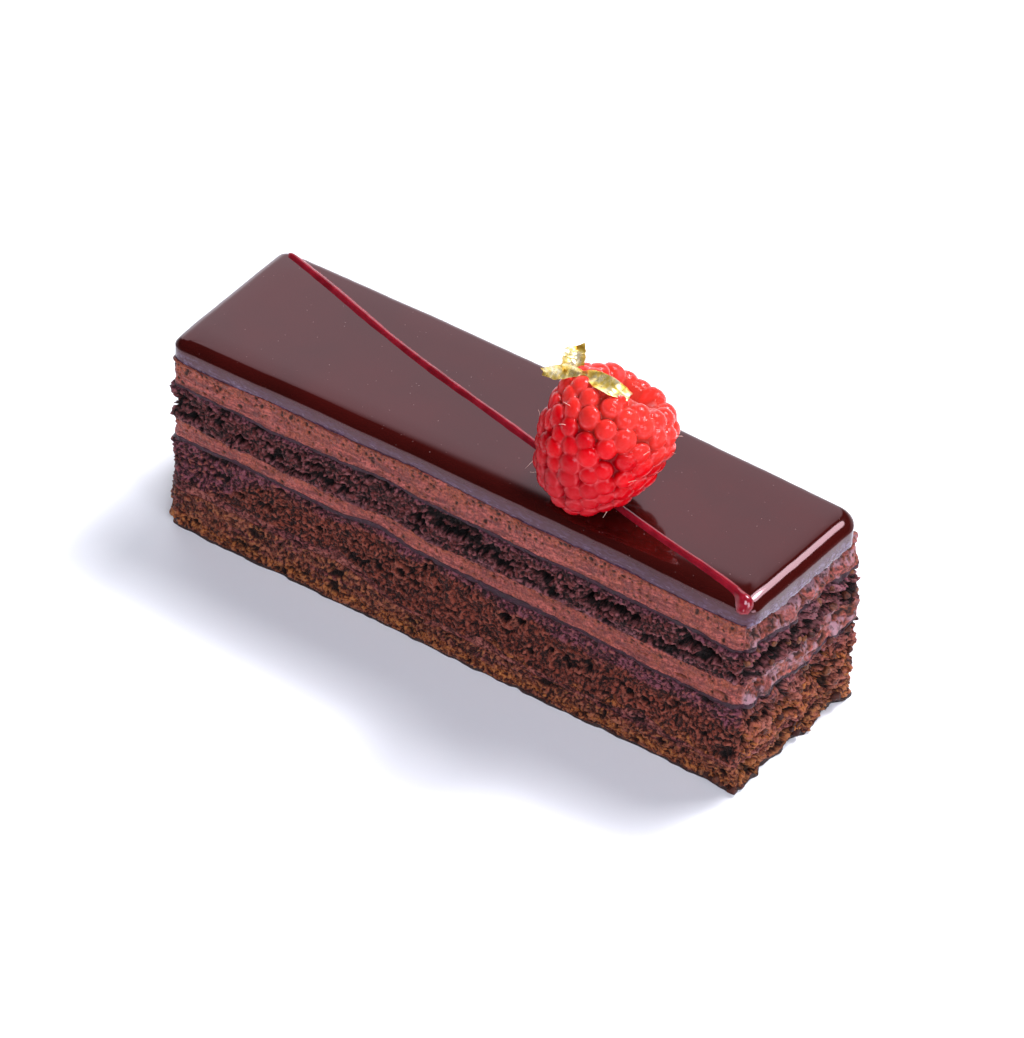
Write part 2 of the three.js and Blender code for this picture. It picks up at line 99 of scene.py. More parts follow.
# Upper boundary of each layer, from the bottom up: height at the middle, fall from the left end to the
# right one, swells as (at, rise, reach), a step as (from, to, rise), and how wavy the line is
BOUNDARIES = {
    "floor": {"height": 0.0, "fall": 0.0, "swells": [], "wave": 0.0},
    "chocolate_base": {"height": 0.45, "fall": 0.0, "swells": [], "wave": 0.2},
    "sponge_bottom": {
        "height": 4.7, "fall": 1.0, "step": (-17, -9.5, 2.3), "wave": 0.25,
        "swells": [(-20.5, 0.5, 4)],
    },
    "ganache_bottom": {
        "height": 5.35, "fall": 1.0, "step": (-17, -9.5, 3.1), "wave": 0.25,
        "swells": [(-20.5, 1.2, 4), (6, 1.0, 4.5), (33, 1.7, 5.5)],
    },
    "sponge_middle": {
        "height": 16.3, "fall": 2.0, "wave": 0.2,
        "swells": [(-50, -0.9, 15), (-13, 1.0, 7), (9, -0.6, 9), (38, -0.4, 16)],
    },
    "jam_middle": {
        "height": 16.95, "fall": 2.0, "wave": 0.16,
        "swells": [(-50, -0.8, 15), (-13, 1.1, 7), (38, -0.5, 16)],
    },
    "ganache_middle": {
        "height": 19.8, "fall": 0.2, "wave": 0.22,
        "swells": [(-48, 0.4, 8), (-11, 0.6, 5), (-4, -0.4, 4)],
    },
    "sponge_top": {
        "height": 26.1, "fall": 0.8, "wave": 0.2,
        "swells": [(-32, -0.5, 8), (-12, 0.6, 11), (48, -0.4, 7)],
    },
    "jam_top": {
        "height": 26.65, "fall": 0.7, "wave": 0.16,
        "swells": [(-32, -0.5, 8), (-12, 0.6, 11), (25, 0.3, 12), (48, -0.4, 7)],
    },
    "ganache_top": {
        "height": 31.0, "fall": 0.6, "wave": 0.12,
        "swells": [(-46, -0.45, 14), (-4, 0.55, 20), (42, -0.3, 14)],
    },
}

# Open holes on the long front side, layer by layer, as (x, z, half length, half height, depth)
FRONT_HOLES = {
    "sponge_top": [
        (-48.2, 24.9, 1.2, 0.6, 1.2), (-46.6, 22.0, 1.3, 1.1, 1.3), (-43.6, 25.0, 0.8, 0.5, 0.9),
        (-42.0, 23.6, 0.9, 0.8, 1.3), (-38.0, 22.0, 1.7, 0.8, 1.4), (-33.0, 24.0, 1.9, 0.6, 1.2),
        (-33.0, 21.7, 1.1, 0.6, 1.1), (-28.1, 24.3, 1.4, 0.5, 1.1), (-27.1, 21.2, 2.0, 0.6, 1.4),
        (-23.5, 23.8, 2.1, 0.6, 1.4), (-19.2, 22.3, 1.1, 0.7, 1.0), (-16.0, 24.6, 1.3, 0.4, 1.0),
        (-14.6, 22.0, 1.4, 0.4, 1.0), (-11.5, 22.4, 1.4, 0.4, 1.0), (-6.0, 22.6, 1.5, 1.1, 1.8),
        (-1.2, 23.4, 3.2, 0.8, 1.8), (2.6, 24.2, 2.4, 0.6, 1.4), (4.8, 22.4, 1.2, 0.7, 1.4),
        (8.5, 21.9, 2.3, 0.8, 1.5), (13.0, 20.9, 1.8, 0.4, 1.0), (16.4, 23.2, 1.7, 0.9, 1.6),
        (19.7, 22.5, 1.1, 0.5, 1.2), (24.0, 23.0, 2.3, 0.8, 1.9), (29.2, 23.4, 3.2, 1.0, 2.0),
        (26.2, 21.6, 1.8, 0.5, 1.1), (35.8, 21.5, 2.3, 0.6, 1.3), (41.4, 23.7, 1.9, 0.6, 1.6),
        (44.7, 23.5, 1.6, 1.1, 1.8), (40.2, 21.6, 1.3, 0.5, 1.2), (47.6, 21.1, 0.9, 0.7, 1.3),
    ],
    "sponge_middle": [
        (-38.2, 11.8, 1.1, 0.6, 1.1), (-32.5, 11.8, 0.9, 0.8, 1.1), (-23.8, 12.5, 0.9, 0.7, 1.0),
        (-19.8, 11.9, 0.8, 0.3, 0.8), (-8.9, 11.5, 1.1, 0.6, 1.2), (-4.9, 13.8, 0.7, 1.1, 1.1),
        (-2.5, 11.6, 0.7, 0.4, 1.0), (9.0, 12.2, 1.4, 0.9, 1.5), (12.3, 12.7, 0.9, 0.6, 1.2),
        (17.5, 10.2, 0.8, 0.5, 1.2), (24.5, 11.8, 0.6, 0.5, 1.0), (23.5, 8.4, 1.4, 0.4, 1.0),
        (31.4, 9.3, 1.1, 0.7, 1.4), (34.0, 9.3, 0.7, 0.6, 1.0), (38.6, 11.5, 0.9, 0.6, 0.9),
        (14.0, 8.2, 0.8, 0.6, 0.9), (44.2, 8.3, 0.8, 0.5, 0.9), (-26.0, 15.8, 0.7, 0.4, 0.7),
    ],
    "ganache_middle": [
        (39.4, 16.7, 2.0, 0.22, 0.7), (33.2, 17.6, 1.1, 0.2, 0.5), (46.5, 17.1, 1.3, 0.2, 0.5),
        (29.5, 16.7, 0.7, 0.18, 0.4),
    ],
    "ganache_bottom": [(33.2, 5.45, 1.9, 0.3, 0.9), (6.3, 5.9, 0.9, 0.35, 0.7)],
    "sponge_bottom": [(-46.1, 2.4, 0.65, 0.6, 1.3)],
}
# The same at the right end, with y in place of x
END_HOLES = {
    "sponge_middle": [(-7.6, 11.0, 1.6, 1.2, 2.0), (7.3, 6.6, 1.0, 0.9, 1.3)],
    "sponge_top": [(7.0, 21.9, 2.3, 0.9, 2.2), (10.6, 22.3, 1.6, 0.8, 2.0), (-7.0, 22.3, 1.8, 0.9, 1.6),
                   (-2.4, 23.0, 1.5, 1.0, 1.6), (-12.6, 22.9, 1.4, 0.8, 1.4)],
}

# How each layer's cut sides look. Lumps and grain are heights of crumb or cream, and stand is how far the
# whole side stands out. Crumb is open where a noise rises above the value of closed, down to depth; in
# cream, pores is the share of places with a small bubble. Holes counts the larger hollows on each 10 mm of
# the sides that have no list of them.
LAYERS = {
    "chocolate_base": {"rows": 5, "slot": "chocolate", "kind": "cream", "stand": 0.05, "lump": 0.25,
                       "grain": 0.15, "pores": 0.0, "holes": 0.0},
    "sponge_bottom": {"rows": 32, "slot": "sponge", "kind": "crumb", "stand": 0.2, "lump": 0.5,
                      "grain": 0.3, "closed": 0.5, "depth": 0.6, "holes": 0.3},
    "ganache_bottom": {"rows": 14, "slot": "ganache", "kind": "crumb", "stand": 0.1, "lump": 0.4,
                       "grain": 0.22, "closed": 0.55, "depth": 0.45, "holes": 0.1},
    "sponge_middle": {"rows": 60, "slot": "sponge", "kind": "crumb", "stand": 0.15, "lump": 0.6,
                      "grain": 0.32, "closed": 0.42, "depth": 0.75, "holes": 0.8},
    "jam_middle": {"rows": 5, "slot": "jam", "kind": "cream", "stand": 0.0, "lump": 0.14, "grain": 0.1,
                   "pores": 0.0, "holes": 0.0},
    "ganache_middle": {"rows": 22, "slot": "ganache", "kind": "cream", "stand": -0.05, "lump": 0.24,
                       "grain": 0.12, "pores": 0.26, "holes": 0.2},
    "sponge_top": {"rows": 40, "slot": "sponge", "kind": "crumb", "stand": 0.25, "lump": 0.8,
                   "grain": 0.36, "closed": 0.24, "depth": 1.0, "holes": 2.0},
    "jam_top": {"rows": 5, "slot": "jam", "kind": "cream", "stand": 0.0, "lump": 0.14, "grain": 0.1,
                "pores": 0.0, "holes": 0.0},
    "ganache_top": {"rows": 24, "slot": "ganache", "kind": "cream", "stand": -0.05, "lump": 0.26,
                    "grain": 0.14, "pores": 0.6, "holes": 0.2},
}

# Sizes of what shows in the cut
CLUMP_SIZE = 2.2
GRANULE_SIZE = 0.4
GAP_SIZE = 1.7
CRUMB_BUBBLE_SIZE = 0.7
CRACK_SIZE = 3.4
CREAM_BUBBLE_SIZE = 0.8
CREST_HEIGHT = 0.16  # that counts as a full crest
CREST_REACH = 3  # grid points to each side that a crest is compared with

# Larger holes of the sides that have no list of them
HOLE_HALF_LENGTHS = (0.6, 2.2)
HOLE_FLATNESS = (0.3, 0.6)
HOLE_DEPTHS = (0.7, 1.6)
HOLE_MARGIN = 0.6  # from the layer's boundaries

# Loose crumbs
END_CRUMBS = 70
FOOT_CRUMBS = 16
CRUMB_SIZES = (0.25, 0.6)
CRUMB_FINENESS = 3
FOOT_CORNER = (43, -12.5, 1.6)  # crumbs at the foot lie right of, before and below this point

# Coulis line
COULIS_ROUTE = [
    (-49.3, 13.3), (-38.1, 9.7), (-25.6, 5.5), (-13.7, 2.15), (1.2, -1.4),
    (27.2, -7.8), (41.2, -10.45), (46.9, -11.8), (49.7, -13.5),
]
COULIS_WIDTH = 1.6
COULIS_HEIGHT = 0.58
COULIS_SINK = 0.04  # of its rim into the glaze
COULIS_ROOT = 0.06  # of its middle line
COULIS_SAMPLES = 420
COULIS_SIDES = 18

# Raspberry
BERRY_PLACE = (19.9, -7.15)
BERRY_APEX = Vector((-0.249, -0.513, -0.821)).normalized()
BERRY_RADIUS = 7.85
BERRY_HALF_LENGTH = 9.3
BERRY_FLARE = 0.18
BERRY_APEX_POWER = 2.24
BERRY_STEM_POWER = 3.1
BERRY_SINK = 0.5  # before it is flattened where it rests
BERRY_CLEARANCE = 0.08
BERRY_FINENESS = 7
BERRY_FOOT = 2.0  # height over the glaze below which the berry can touch it
GROOVE_REACH = 2.4  # from the coulis line, as far as the berry's foot makes room for it
DRUPELET_SPACING = 2.95
DRUPELET_FIRST_RING = 0.18
DRUPELET_RINGS = 11
DRUPELET_JITTER = 0.17
DRUPELET_SIZES = (1.5, 1.78)
DRUPELET_RISE = 0.78
STEM_HOLLOW_ANGLE = 0.125 * math.pi
STEM_HOLLOW_DEPTH = 6.0
HAIR_SHARE = 0.14
HAIR_LENGTHS = (0.8, 1.5)
HAIR_RADII = (0.035, 0.015)
HAIR_SIDES = 6
HAIR_CLEARANCE = 1.2

# Gold leaf, from the middle of the berry to the right, up and towards the camera: the line along the middle
# of each scrap, and its width from edge to edge at each of those points. The last points of the strip lie
# on the berry, and the flap stands on the strip.
LEAF_LIFT = 0.45
LEAF_FALL = 0.7  # at most, from one of its points to the next
LEAF_RESTING = 4  # points that lie on the berry
LEAF_FOOT = 2  # point of the strip that the flap stands on
LEAF_COLUMNS = 70
LEAF_ROWS = 22
LEAF_THICKNESS = 0.05
LEAF_CRUMPLE = 0.26
LEAF_STRIP = {
    "route": [(-7.8, 10.1, 2.4), (-6.1, 9.9, 4.6), (-4.2, 10.0, 7.0), (-2.1, 9.7, 8.3), (0.0, 8.5, 9.6),
              (2.0, 7.4, 9.9), (4.0, 6.4, 9.2)],
    "widths": [(0.0, 0.9, -0.4), (0.0, 1.9, -0.8), (0.2, 1.9, -0.9), (0.6, 0.9, 0.6), (1.2, 1.8, -1.2),
               (1.3, 2.0, -1.0), (0.6, 1.0, -0.3)],
    "curl": 0.5,
}
LEAF_FLAP = {
    "route": [(-3.75, 10.1, 6.3), (-3.65, 11.4, 5.9), (-3.55, 12.8, 5.5), (-3.4, 13.8, 5.1)],
    "widths": [(2.9, 0.1, -0.3), (3.2, 0.1, -0.5), (3.1, 0.2, -0.6), (2.5, 0.3, -0.6)],
    "curl": -0.8,
}

# Camera, in the slice's frame
EYE = Vector((388.25, -582.45, 594.16))
VIEW_RIGHT = Vector((0.819, 0.573, 0.027)).normalized()
VIEW_UP = Vector((-0.382, 0.51, 0.771)).normalized()
VIEW_PAN = 0.93
LENS = 217.0
SENSOR_WIDTH = 36.0

# Studio
LIGHTS_AIM = Vector((0, 0, 15)) * MM
KEY_DIRECTION = (0.2, 0.475, 0.857)
KEY_WHITE = (0.97, 0.98, 1.06)
FLOOR_REACH = 4.0

glaze_low, glaze_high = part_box("glaze")
SHIFT = np.array([
    glaze_low.x / MM + LENGTH / 2 + SOLID_OVERHANG,
    (glaze_low.y + glaze_high.y) / 2 / MM,
    0.0,
])


# Noise

def lattice(ix, iy, iz, seed):
    """Repeatable value between 0 and 1 for each place with whole-number coordinates."""
    mixed = (ix * 374761393 + iy * 668265263 + iz * 1440662683 + seed * 974634721) & 0xFFFFFFFF
    mixed = ((mixed ^ (mixed >> 13)) * 1274126177) & 0xFFFFFFFF
    mixed = ((mixed ^ (mixed >> 15)) * 668265263) & 0xFFFFFFFF
    return (mixed ^ (mixed >> 16)) / 2.0 ** 32


def noise(points, size, seed):
    """Smooth noise between -1 and 1 whose features are about as large as size."""
    place = points / size
    cell = np.floor(place).astype(np.int64)
    part = place - cell
    part = part * part * (3 - 2 * part)
    total = np.zeros(len(points))
    for corner in np.ndindex(2, 2, 2):
        weight = np.prod(np.where(corner, part, 1 - part), axis=1)
        total += weight * lattice(*(cell + corner).T, seed)
    return 2 * total - 1


def layered_noise(points, size, seed, octaves=3, weight=0.5):
    """Noise with finer and weaker copies of itself added."""
    total = np.zeros(len(points))
    for octave in range(octaves):
        total += noise(points, size / 2 ** octave, seed + octave) * weight ** octave
    return total


def cells(points, size, seed):
    """Distance to the nearest of scattered points, one in each cell of that size, and its own value."""
    place = points / size
    cell = np.floor(place).astype(np.int64)
    nearest = np.full(len(points), 9.0)
    value = np.zeros(len(points))
    for step in np.ndindex(3, 3, 3):
        other = cell + np.array(step) - 1
        centre = other + np.stack([lattice(*other.T, seed + k) for k in range(3)], axis=1)
        distance = np.linalg.norm(place - centre, axis=1)
        closer = distance < nearest
        nearest[closer] = distance[closer]
        value[closer] = lattice(*other.T, seed + 3)[closer]
    return nearest, value


def warped(points, size, amount, seed):
    """Points pushed about by noise, so that what is made from them looks less regular."""
    push = np.stack([noise(points, size, seed + k) for k in range(3)], axis=1)
    return points + amount * push


def smoothstep(value, low, high):
    share = np.clip((value - low) / (high - low), 0, 1)
    return share * share * (3 - 2 * share)


def unit(vectors):
    """The given vectors, row by row, with a length of one."""
    return vectors / np.linalg.norm(vectors, axis=1)[:, None]


def blurred(grid, reach):
    """Mean of a grid over a window; its first axis runs round the slice, its second from edge to edge."""
    kernel = 2 * reach + 1
    wrapped = np.concatenate([grid[-reach:], grid, grid[:reach]])
    sums = np.cumsum(np.concatenate([np.zeros((1, grid.shape[1])), wrapped]), axis=0)
    around = (sums[kernel:] - sums[:-kernel]) / kernel
    padded = np.pad(around, ((0, 0), (reach, reach)), mode="edge")
    sums = np.cumsum(np.concatenate([np.zeros((len(grid), 1)), padded], axis=1), axis=1)
    return (sums[:, kernel:] - sums[:, :-kernel]) / kernel


# Plan and layer boundaries

def cut_plan(x, y):
    """Moves points of the square plan to the plan as it is cut, a little out of square."""
    right = x / LENGTH + 0.5
    back = y / WIDTH + 0.5
    return x + (END_STRETCH + END_SKEW * (back - 0.5)) * right, y - BACK_TAPER * back * right


def square_plan(x, y):
    """Moves points of the plan as it is cut back to the square plan."""
    square_x, square_y = x, y
    for _ in range(3):
        cut_x, cut_y = cut_plan(square_x, square_y)
        square_x = square_x + x - cut_x
        square_y = square_y + y - cut_y
    return square_x, square_y


def plan_outline(corners, pitch):
    """Rounded rectangle of the plan, anticlockwise from its front left corner, with its outward normals.

    Corners are radii: front right, back right, back left and front left.
    """
    signs = [(1, -1), (1, 1), (-1, 1), (-1, -1)]
    half = np.array([LENGTH / 2, WIDTH / 2])
    centres = [np.array(sign) * (half - corner) for sign, corner in zip(signs, corners)]
    points = []
    normals = []
    for side in range(4):
        outward = (side - 1) * math.pi / 2
        normal = np.array([math.cos(outward), math.sin(outward)])
        start = centres[side - 1] + corners[side - 1] * normal
        end = centres[side] + corners[side] * normal
        steps = round(np.linalg.norm(end - start) / pitch)
        share = np.arange(steps)[:, None] / steps
        points.append(start + (end - start) * share)
        normals.append(np.repeat(normal[None], steps, axis=0))
        arc_steps = max(6, round(corners[side] * math.pi / 2 / pitch))
        angles = outward + np.arange(arc_steps)[:, None] / arc_steps * math.pi / 2
        turned = np.concatenate([np.cos(angles), np.sin(angles)], axis=1)
        points.append(centres[side] + corners[side] * turned)
        normals.append(turned)
    points = np.concatenate(points)
    return np.column_stack(cut_plan(points[:, 0], points[:, 1])), np.concatenate(normals)


def boundary_heights(plan):
    """Heights of the layers' upper boundaries over points of the plan, from the floor up."""
    x, y = plan[:, 0], plan[:, 1]
    share = 1 + (BACK_SHARE - 1) * (y / WIDTH + 0.5)
    torn = smoothstep(square_plan(x, y)[0], LENGTH / 2 - TORN_REACH[0], LENGTH / 2 - TORN_REACH[1])
    spot = np.column_stack([x, y, np.zeros(len(x))])
    wobble = torn * (0.6 * noise(spot, 4.5, 31) + 0.45 * noise(spot, 1.7, 32))
    heights = {}
    below = None
    for index, (name, boundary) in enumerate(BOUNDARIES.items()):
        z = boundary["height"] - boundary["fall"] * x / LENGTH
        for at, rise, reach in boundary["swells"]:
            distance = np.minimum(np.abs(x - at) / reach, 1)
            z = z + share * rise * (1 + np.cos(np.pi * distance)) / 2
        if "step" in boundary:
            start, end, rise = boundary["step"]
            z = z + rise * (1 - smoothstep(x, start, end))
        level = spot + (0, 0, boundary["height"])
        wave = 0.8 * noise(level, 2.6, 40 + index) + 0.8 * layered_noise(level, 0.9, 60 + index, 3)
        z = z + boundary["wave"] * wave * (1 + torn)
        if 2 < boundary["height"] < 29:
            z = z + wobble
        if below is not None:
            z = np.maximum(z, below + THINNEST_LAYER)
        heights[name] = z
        below = z
    return heights


def top_height(x):
    """Height of the glaze's top before it sags towards its edge."""
    return HEIGHT - TOP_CROWN * (2 * x / LENGTH) ** 2


def side_shares(normals):
    """Shares that the right, back, left and front side have in each of the given directions."""
    return np.maximum(np.column_stack([normals, -normals]), 0) ** 2


def from_glaze_sides(x, y):
    """Distances of points of the plan from the glaze's right, back, left and front side."""
    square_x, square_y = square_plan(x, y)
    distances = np.stack([-square_x, -square_y, square_x, square_y], axis=-1)
    return distances + np.array([LENGTH, WIDTH, LENGTH, WIDTH]) / 2 + GLAZE_OVERHANGS


def glaze_sag(x, y):
    """How far the glaze's top lies below its full height, before its edge rounds over."""
    return np.clip(1 - from_glaze_sides(x, y) / SAG_REACH, 0, 1) ** 2 @ EDGE_SAGS


# Meshes

def add_piece(name, points, faces, material, attributes=None, replaces=()):
    """Makes a piece of points in millimetres and faces given as arrays of equal corner count."""
    mesh = bpy.data.meshes.new(name)
    corners = np.concatenate([np.asarray(group).ravel() for group in faces]).astype(np.int32)
    sizes = np.concatenate([np.full(len(group), np.asarray(group).shape[1]) for group in faces])
    starts = np.concatenate([[0], np.cumsum(sizes)[:-1]]).astype(np.int32)
    mesh.vertices.add(len(points))
    mesh.vertices.foreach_set("co", ((np.asarray(points) + SHIFT) * MM).astype(np.float32).ravel())
    mesh.loops.add(len(corners))
    mesh.loops.foreach_set("vertex_index", corners)
    mesh.polygons.add(len(sizes))
    mesh.polygons.foreach_set("loop_start", starts)
    mesh.polygons.foreach_set("use_smooth", np.full(len(sizes), True))
    mesh.update(calc_edges=True)
    mesh.validate()
    for key, values in (attributes or {}).items():
        attribute = mesh.attributes.new(key, "FLOAT", "POINT")
        attribute.data.foreach_set("value", np.asarray(values, np.float32).ravel())
    mesh.materials.append(material)
    piece = bpy.data.objects.new(name, mesh)
    bpy.context.scene.collection.objects.link(piece)
    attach(piece, "root")
    if replaces:
        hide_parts(*replaces)
    return piece


def round_ball(fineness):
    """Points of an even ball with a radius of one, and its triangles."""
    ball = bmesh.new()
    bmesh.ops.create_icosphere(ball, subdivisions=fineness, radius=1.0)
    points = np.array([v.co for v in ball.verts])
    triangles = np.array([[v.index for v in f.verts] for f in ball.faces])
    ball.free()
    return points, triangles


def grid_faces(columns, rows, first=0, closed=True):
    """Quads of a grid whose points run column by column; its columns close to a ring if closed."""
    column = np.arange(columns if closed else columns - 1)
    row = np.arange(rows - 1)
    a = first + column[:, None] * rows + row[None]
    b = first + ((column + 1) % columns)[:, None] * rows + row[None]
    return np.stack([a, b, b + 1, a + 1], axis=-1).reshape(-1, 4)


def cap_faces(ring, inner, up):
    """Faces between a fine ring and a coarse one inside it, and one face that closes the coarse ring."""
    count = len(ring)
    triangles = []
    for k in range(len(inner)):
        after = inner[(k + 1) % len(inner)]
        first = k * CAP_STRIDE
        last = min(first + CAP_STRIDE, count)
        for i in range(first, last):
            triangles.append((ring[i], ring[(i + 1) % count], inner[k]))
        triangles.append((ring[last % count], after, inner[k]))
    triangles = np.array(triangles)
    middle = np.array([inner])
    return [triangles, middle] if up else [triangles[:, ::-1], middle[:, ::-1]]


# Crumb

def crumb_relief(points, torn, spec, seed):
    """Relief of cut crumb, as heights out of the side, how open it is, and each granule's own value."""
    soft = warped(warped(points, 2.4, 0.5, seed), 0.7, 0.3, seed + 5)
    clumps = layered_noise(soft, CLUMP_SIZE, seed + 10, 4, 0.6)
    distance, tint = cells(soft, GRANULE_SIZE, seed + 20)
    granules = 0.4 - 0.8 * distance + 0.9 * (tint - 0.5) + 0.45 * noise(points, 0.36, seed + 30)
    relief = 0.45 * spec["lump"] * clumps * (1 + 1.2 * torn) + spec["grain"] * granules * (1 + 0.5 * torn)
    openness = layered_noise(soft * (0.5, 0.5, 1.15), GAP_SIZE, seed + 40, 5, 0.6)
    openness = openness + 0.4 * noise(points, 6.0, seed + 50) + 0.14 * torn
    gaps = smoothstep(openness, spec["closed"], spec["closed"] + 0.45)
    distance, value = cells(soft, CRUMB_BUBBLE_SIZE, seed + 60)
    bubble = np.clip(1 - (distance / (0.2 + 0.3 * np.modf(value * 37.0)[0])) ** 2, 0, 1)
    bubble = np.where(value < 0.9 - spec["closed"], bubble, 0)
    bent = warped(points, 1.6, 0.6, 6) * (0.7, 0.7, 1.3)
    seams = np.abs(layered_noise(bent, CRACK_SIZE, 7, 3, 0.6))
    cracks = torn * (1 - smoothstep(seams, 0.04, 0.22))
    relief = relief - spec["depth"] * gaps * (1 + 0.5 * torn) - 0.25 * bubble - 1.1 * cracks
    return relief, np.maximum(np.maximum(gaps, 0.8 * bubble), cracks), tint


def cream_relief(points, height_share, torn, spec, seed):
    """Relief of cut cream, whose small bubbles gather near its top, and the same two further values."""
    streaks = layered_noise(points * (0.3, 0.3, 1.4), 1.2, seed + 10, 3)
    rags = layered_noise(points, 1.5, seed + 15, 4)
    relief = 0.5 * spec["lump"] * (streaks + 2.2 * torn * rags)
    relief = relief + spec["grain"] * noise(points, 0.5, seed + 30)
    distance, value = cells(warped(points, 0.6, 0.2, seed), CREAM_BUBBLE_SIZE, seed + 40)
    reach = 0.3 + 0.32 * np.modf(value * 37.0)[0]
    bubble = np.clip(1 - (distance / reach) ** 2, 0, 1)
    pores = spec["pores"] * (0.5 + 1.5 * smoothstep(height_share, 0.35, 0.95))
    bubble = np.where(value < pores, bubble, 0)
    gaps = torn * smoothstep(layered_noise(points, 1.4, seed + 50, 4, 0.6), 0.2, 0.6)
    tint = 0.5 + 0.5 * noise(points, 0.6, seed + 60)
    return relief - 0.3 * bubble - 0.6 * gaps, np.maximum(bubble, 0.8 * gaps), tint


def colour_zones(name, points, torn, below):
    """How golden, how stained by jam and how smeared with cream a layer's crumb is at each point."""
    x, z = points[:, 0], points[:, 2]
    blotch = 0.6 * layered_noise(points, 3.2, 900, 3) + 0.5 * noise(points, 0.8, 905)
    other = layered_noise(points, 2.4, 910, 4)
    right = smoothstep(x, -25, 30)
    toast = np.zeros(len(points))
    stain = np.zeros(len(points))
    smear = torn * smoothstep(other, 0.05, 0.5)
    streaks = layered_noise(points * (0.25, 0.25, 1.5), 1.4, 920, 4, 0.6)
    if name == "sponge_bottom":
        toast = smoothstep(2.9 - 0.3 * right - z + 1.3 * blotch, -0.6, 1.2)
        toast = toast * (0.3 + 0.7 * smoothstep(z, 0.7, 1.7))
        smear = np.maximum(smear, 0.9 * smoothstep(streaks, 0.05, 0.5)) * (1 - toast)
        stain = 0.8 * smoothstep(-streaks, 0.1, 0.6) * (1 - toast)
    if name == "ganache_bottom":
        smear = np.maximum(smear, smoothstep(streaks, -0.1, 0.35))
        stain = 0.8 * smoothstep(-streaks, 0.1, 0.5)
    if name == "sponge_middle":
        low = 0.25 * (8.5 - z) + 0.4 * (right - 1) + 1.6 * torn - 0.55
        toast = smoothstep(low + 1.1 * blotch, 0.1, 0.9)
        reach = 1.3 + 1.7 * smoothstep(x, 4, 24) * (1 - torn) + 6 * smoothstep(-x, 33, 42)
        stain = smoothstep(reach - below + 1.4 * blotch, -0.5, 0.9) * (1 - 0.5 * toast)
        smear = 0.5 * smear
    if name == "sponge_top":
        stain = smoothstep(0.8 - below + 0.7 * blotch, -0.3, 0.4)
        low = smoothstep(21.2 + 0.5 * blotch - z, -0.3, 0.5)
        smear = np.maximum(0.7 * smear, 0.6 * low * smoothstep(other, -0.1, 0.35))
    return {"toast": toast, "stain": stain, "smear": smear}


def hole_shares(arc, z, total_arc, holes, points, seed):
    """Depth that ragged holes cut into a side at each point of its grid."""
    depth = np.zeros(arc.shape)
    ragged = 0.6 * layered_noise(points, 1.2, seed, 5, 0.65).reshape(arc.shape)
    for at, height, half_length, half_height, deep in holes:
        along = (arc - at + total_arc / 2) % total_arc - total_arc / 2
        distance = np.hypot(along / half_length, (z - height) / half_height) + ragged
        depth = np.maximum(depth, deep * (1 - smoothstep(distance, 0.6, 1.1)))
    return depth


def layer_holes(name, arc_of_front, arc_of_end, free_arcs, low, high):
    """A layer's larger holes round the slice: as listed in front and at the right, scattered elsewhere."""
    holes = [(arc_of_front(x), z, a, b, deep) for x, z, a, b, deep in FRONT_HOLES.get(name, [])]
    holes += [(arc_of_end(y), z, a, b, deep) for y, z, a, b, deep in END_HOLES.get(name, [])]
    random = np.random.default_rng(list(LAYERS).index(name) + 5)
    for start, end in free_arcs:
        for _ in range(round(LAYERS[name]["holes"] * (end - start) / 10)):
            half_length = random.uniform(*HOLE_HALF_LENGTHS)
            half_height = half_length * random.uniform(*HOLE_FLATNESS)
            place = random.uniform(low + HOLE_MARGIN, high - HOLE_MARGIN)
            at = random.uniform(start, end)
            holes.append((at, place, half_length, half_height, random.uniform(*HOLE_DEPTHS)))
    return holes


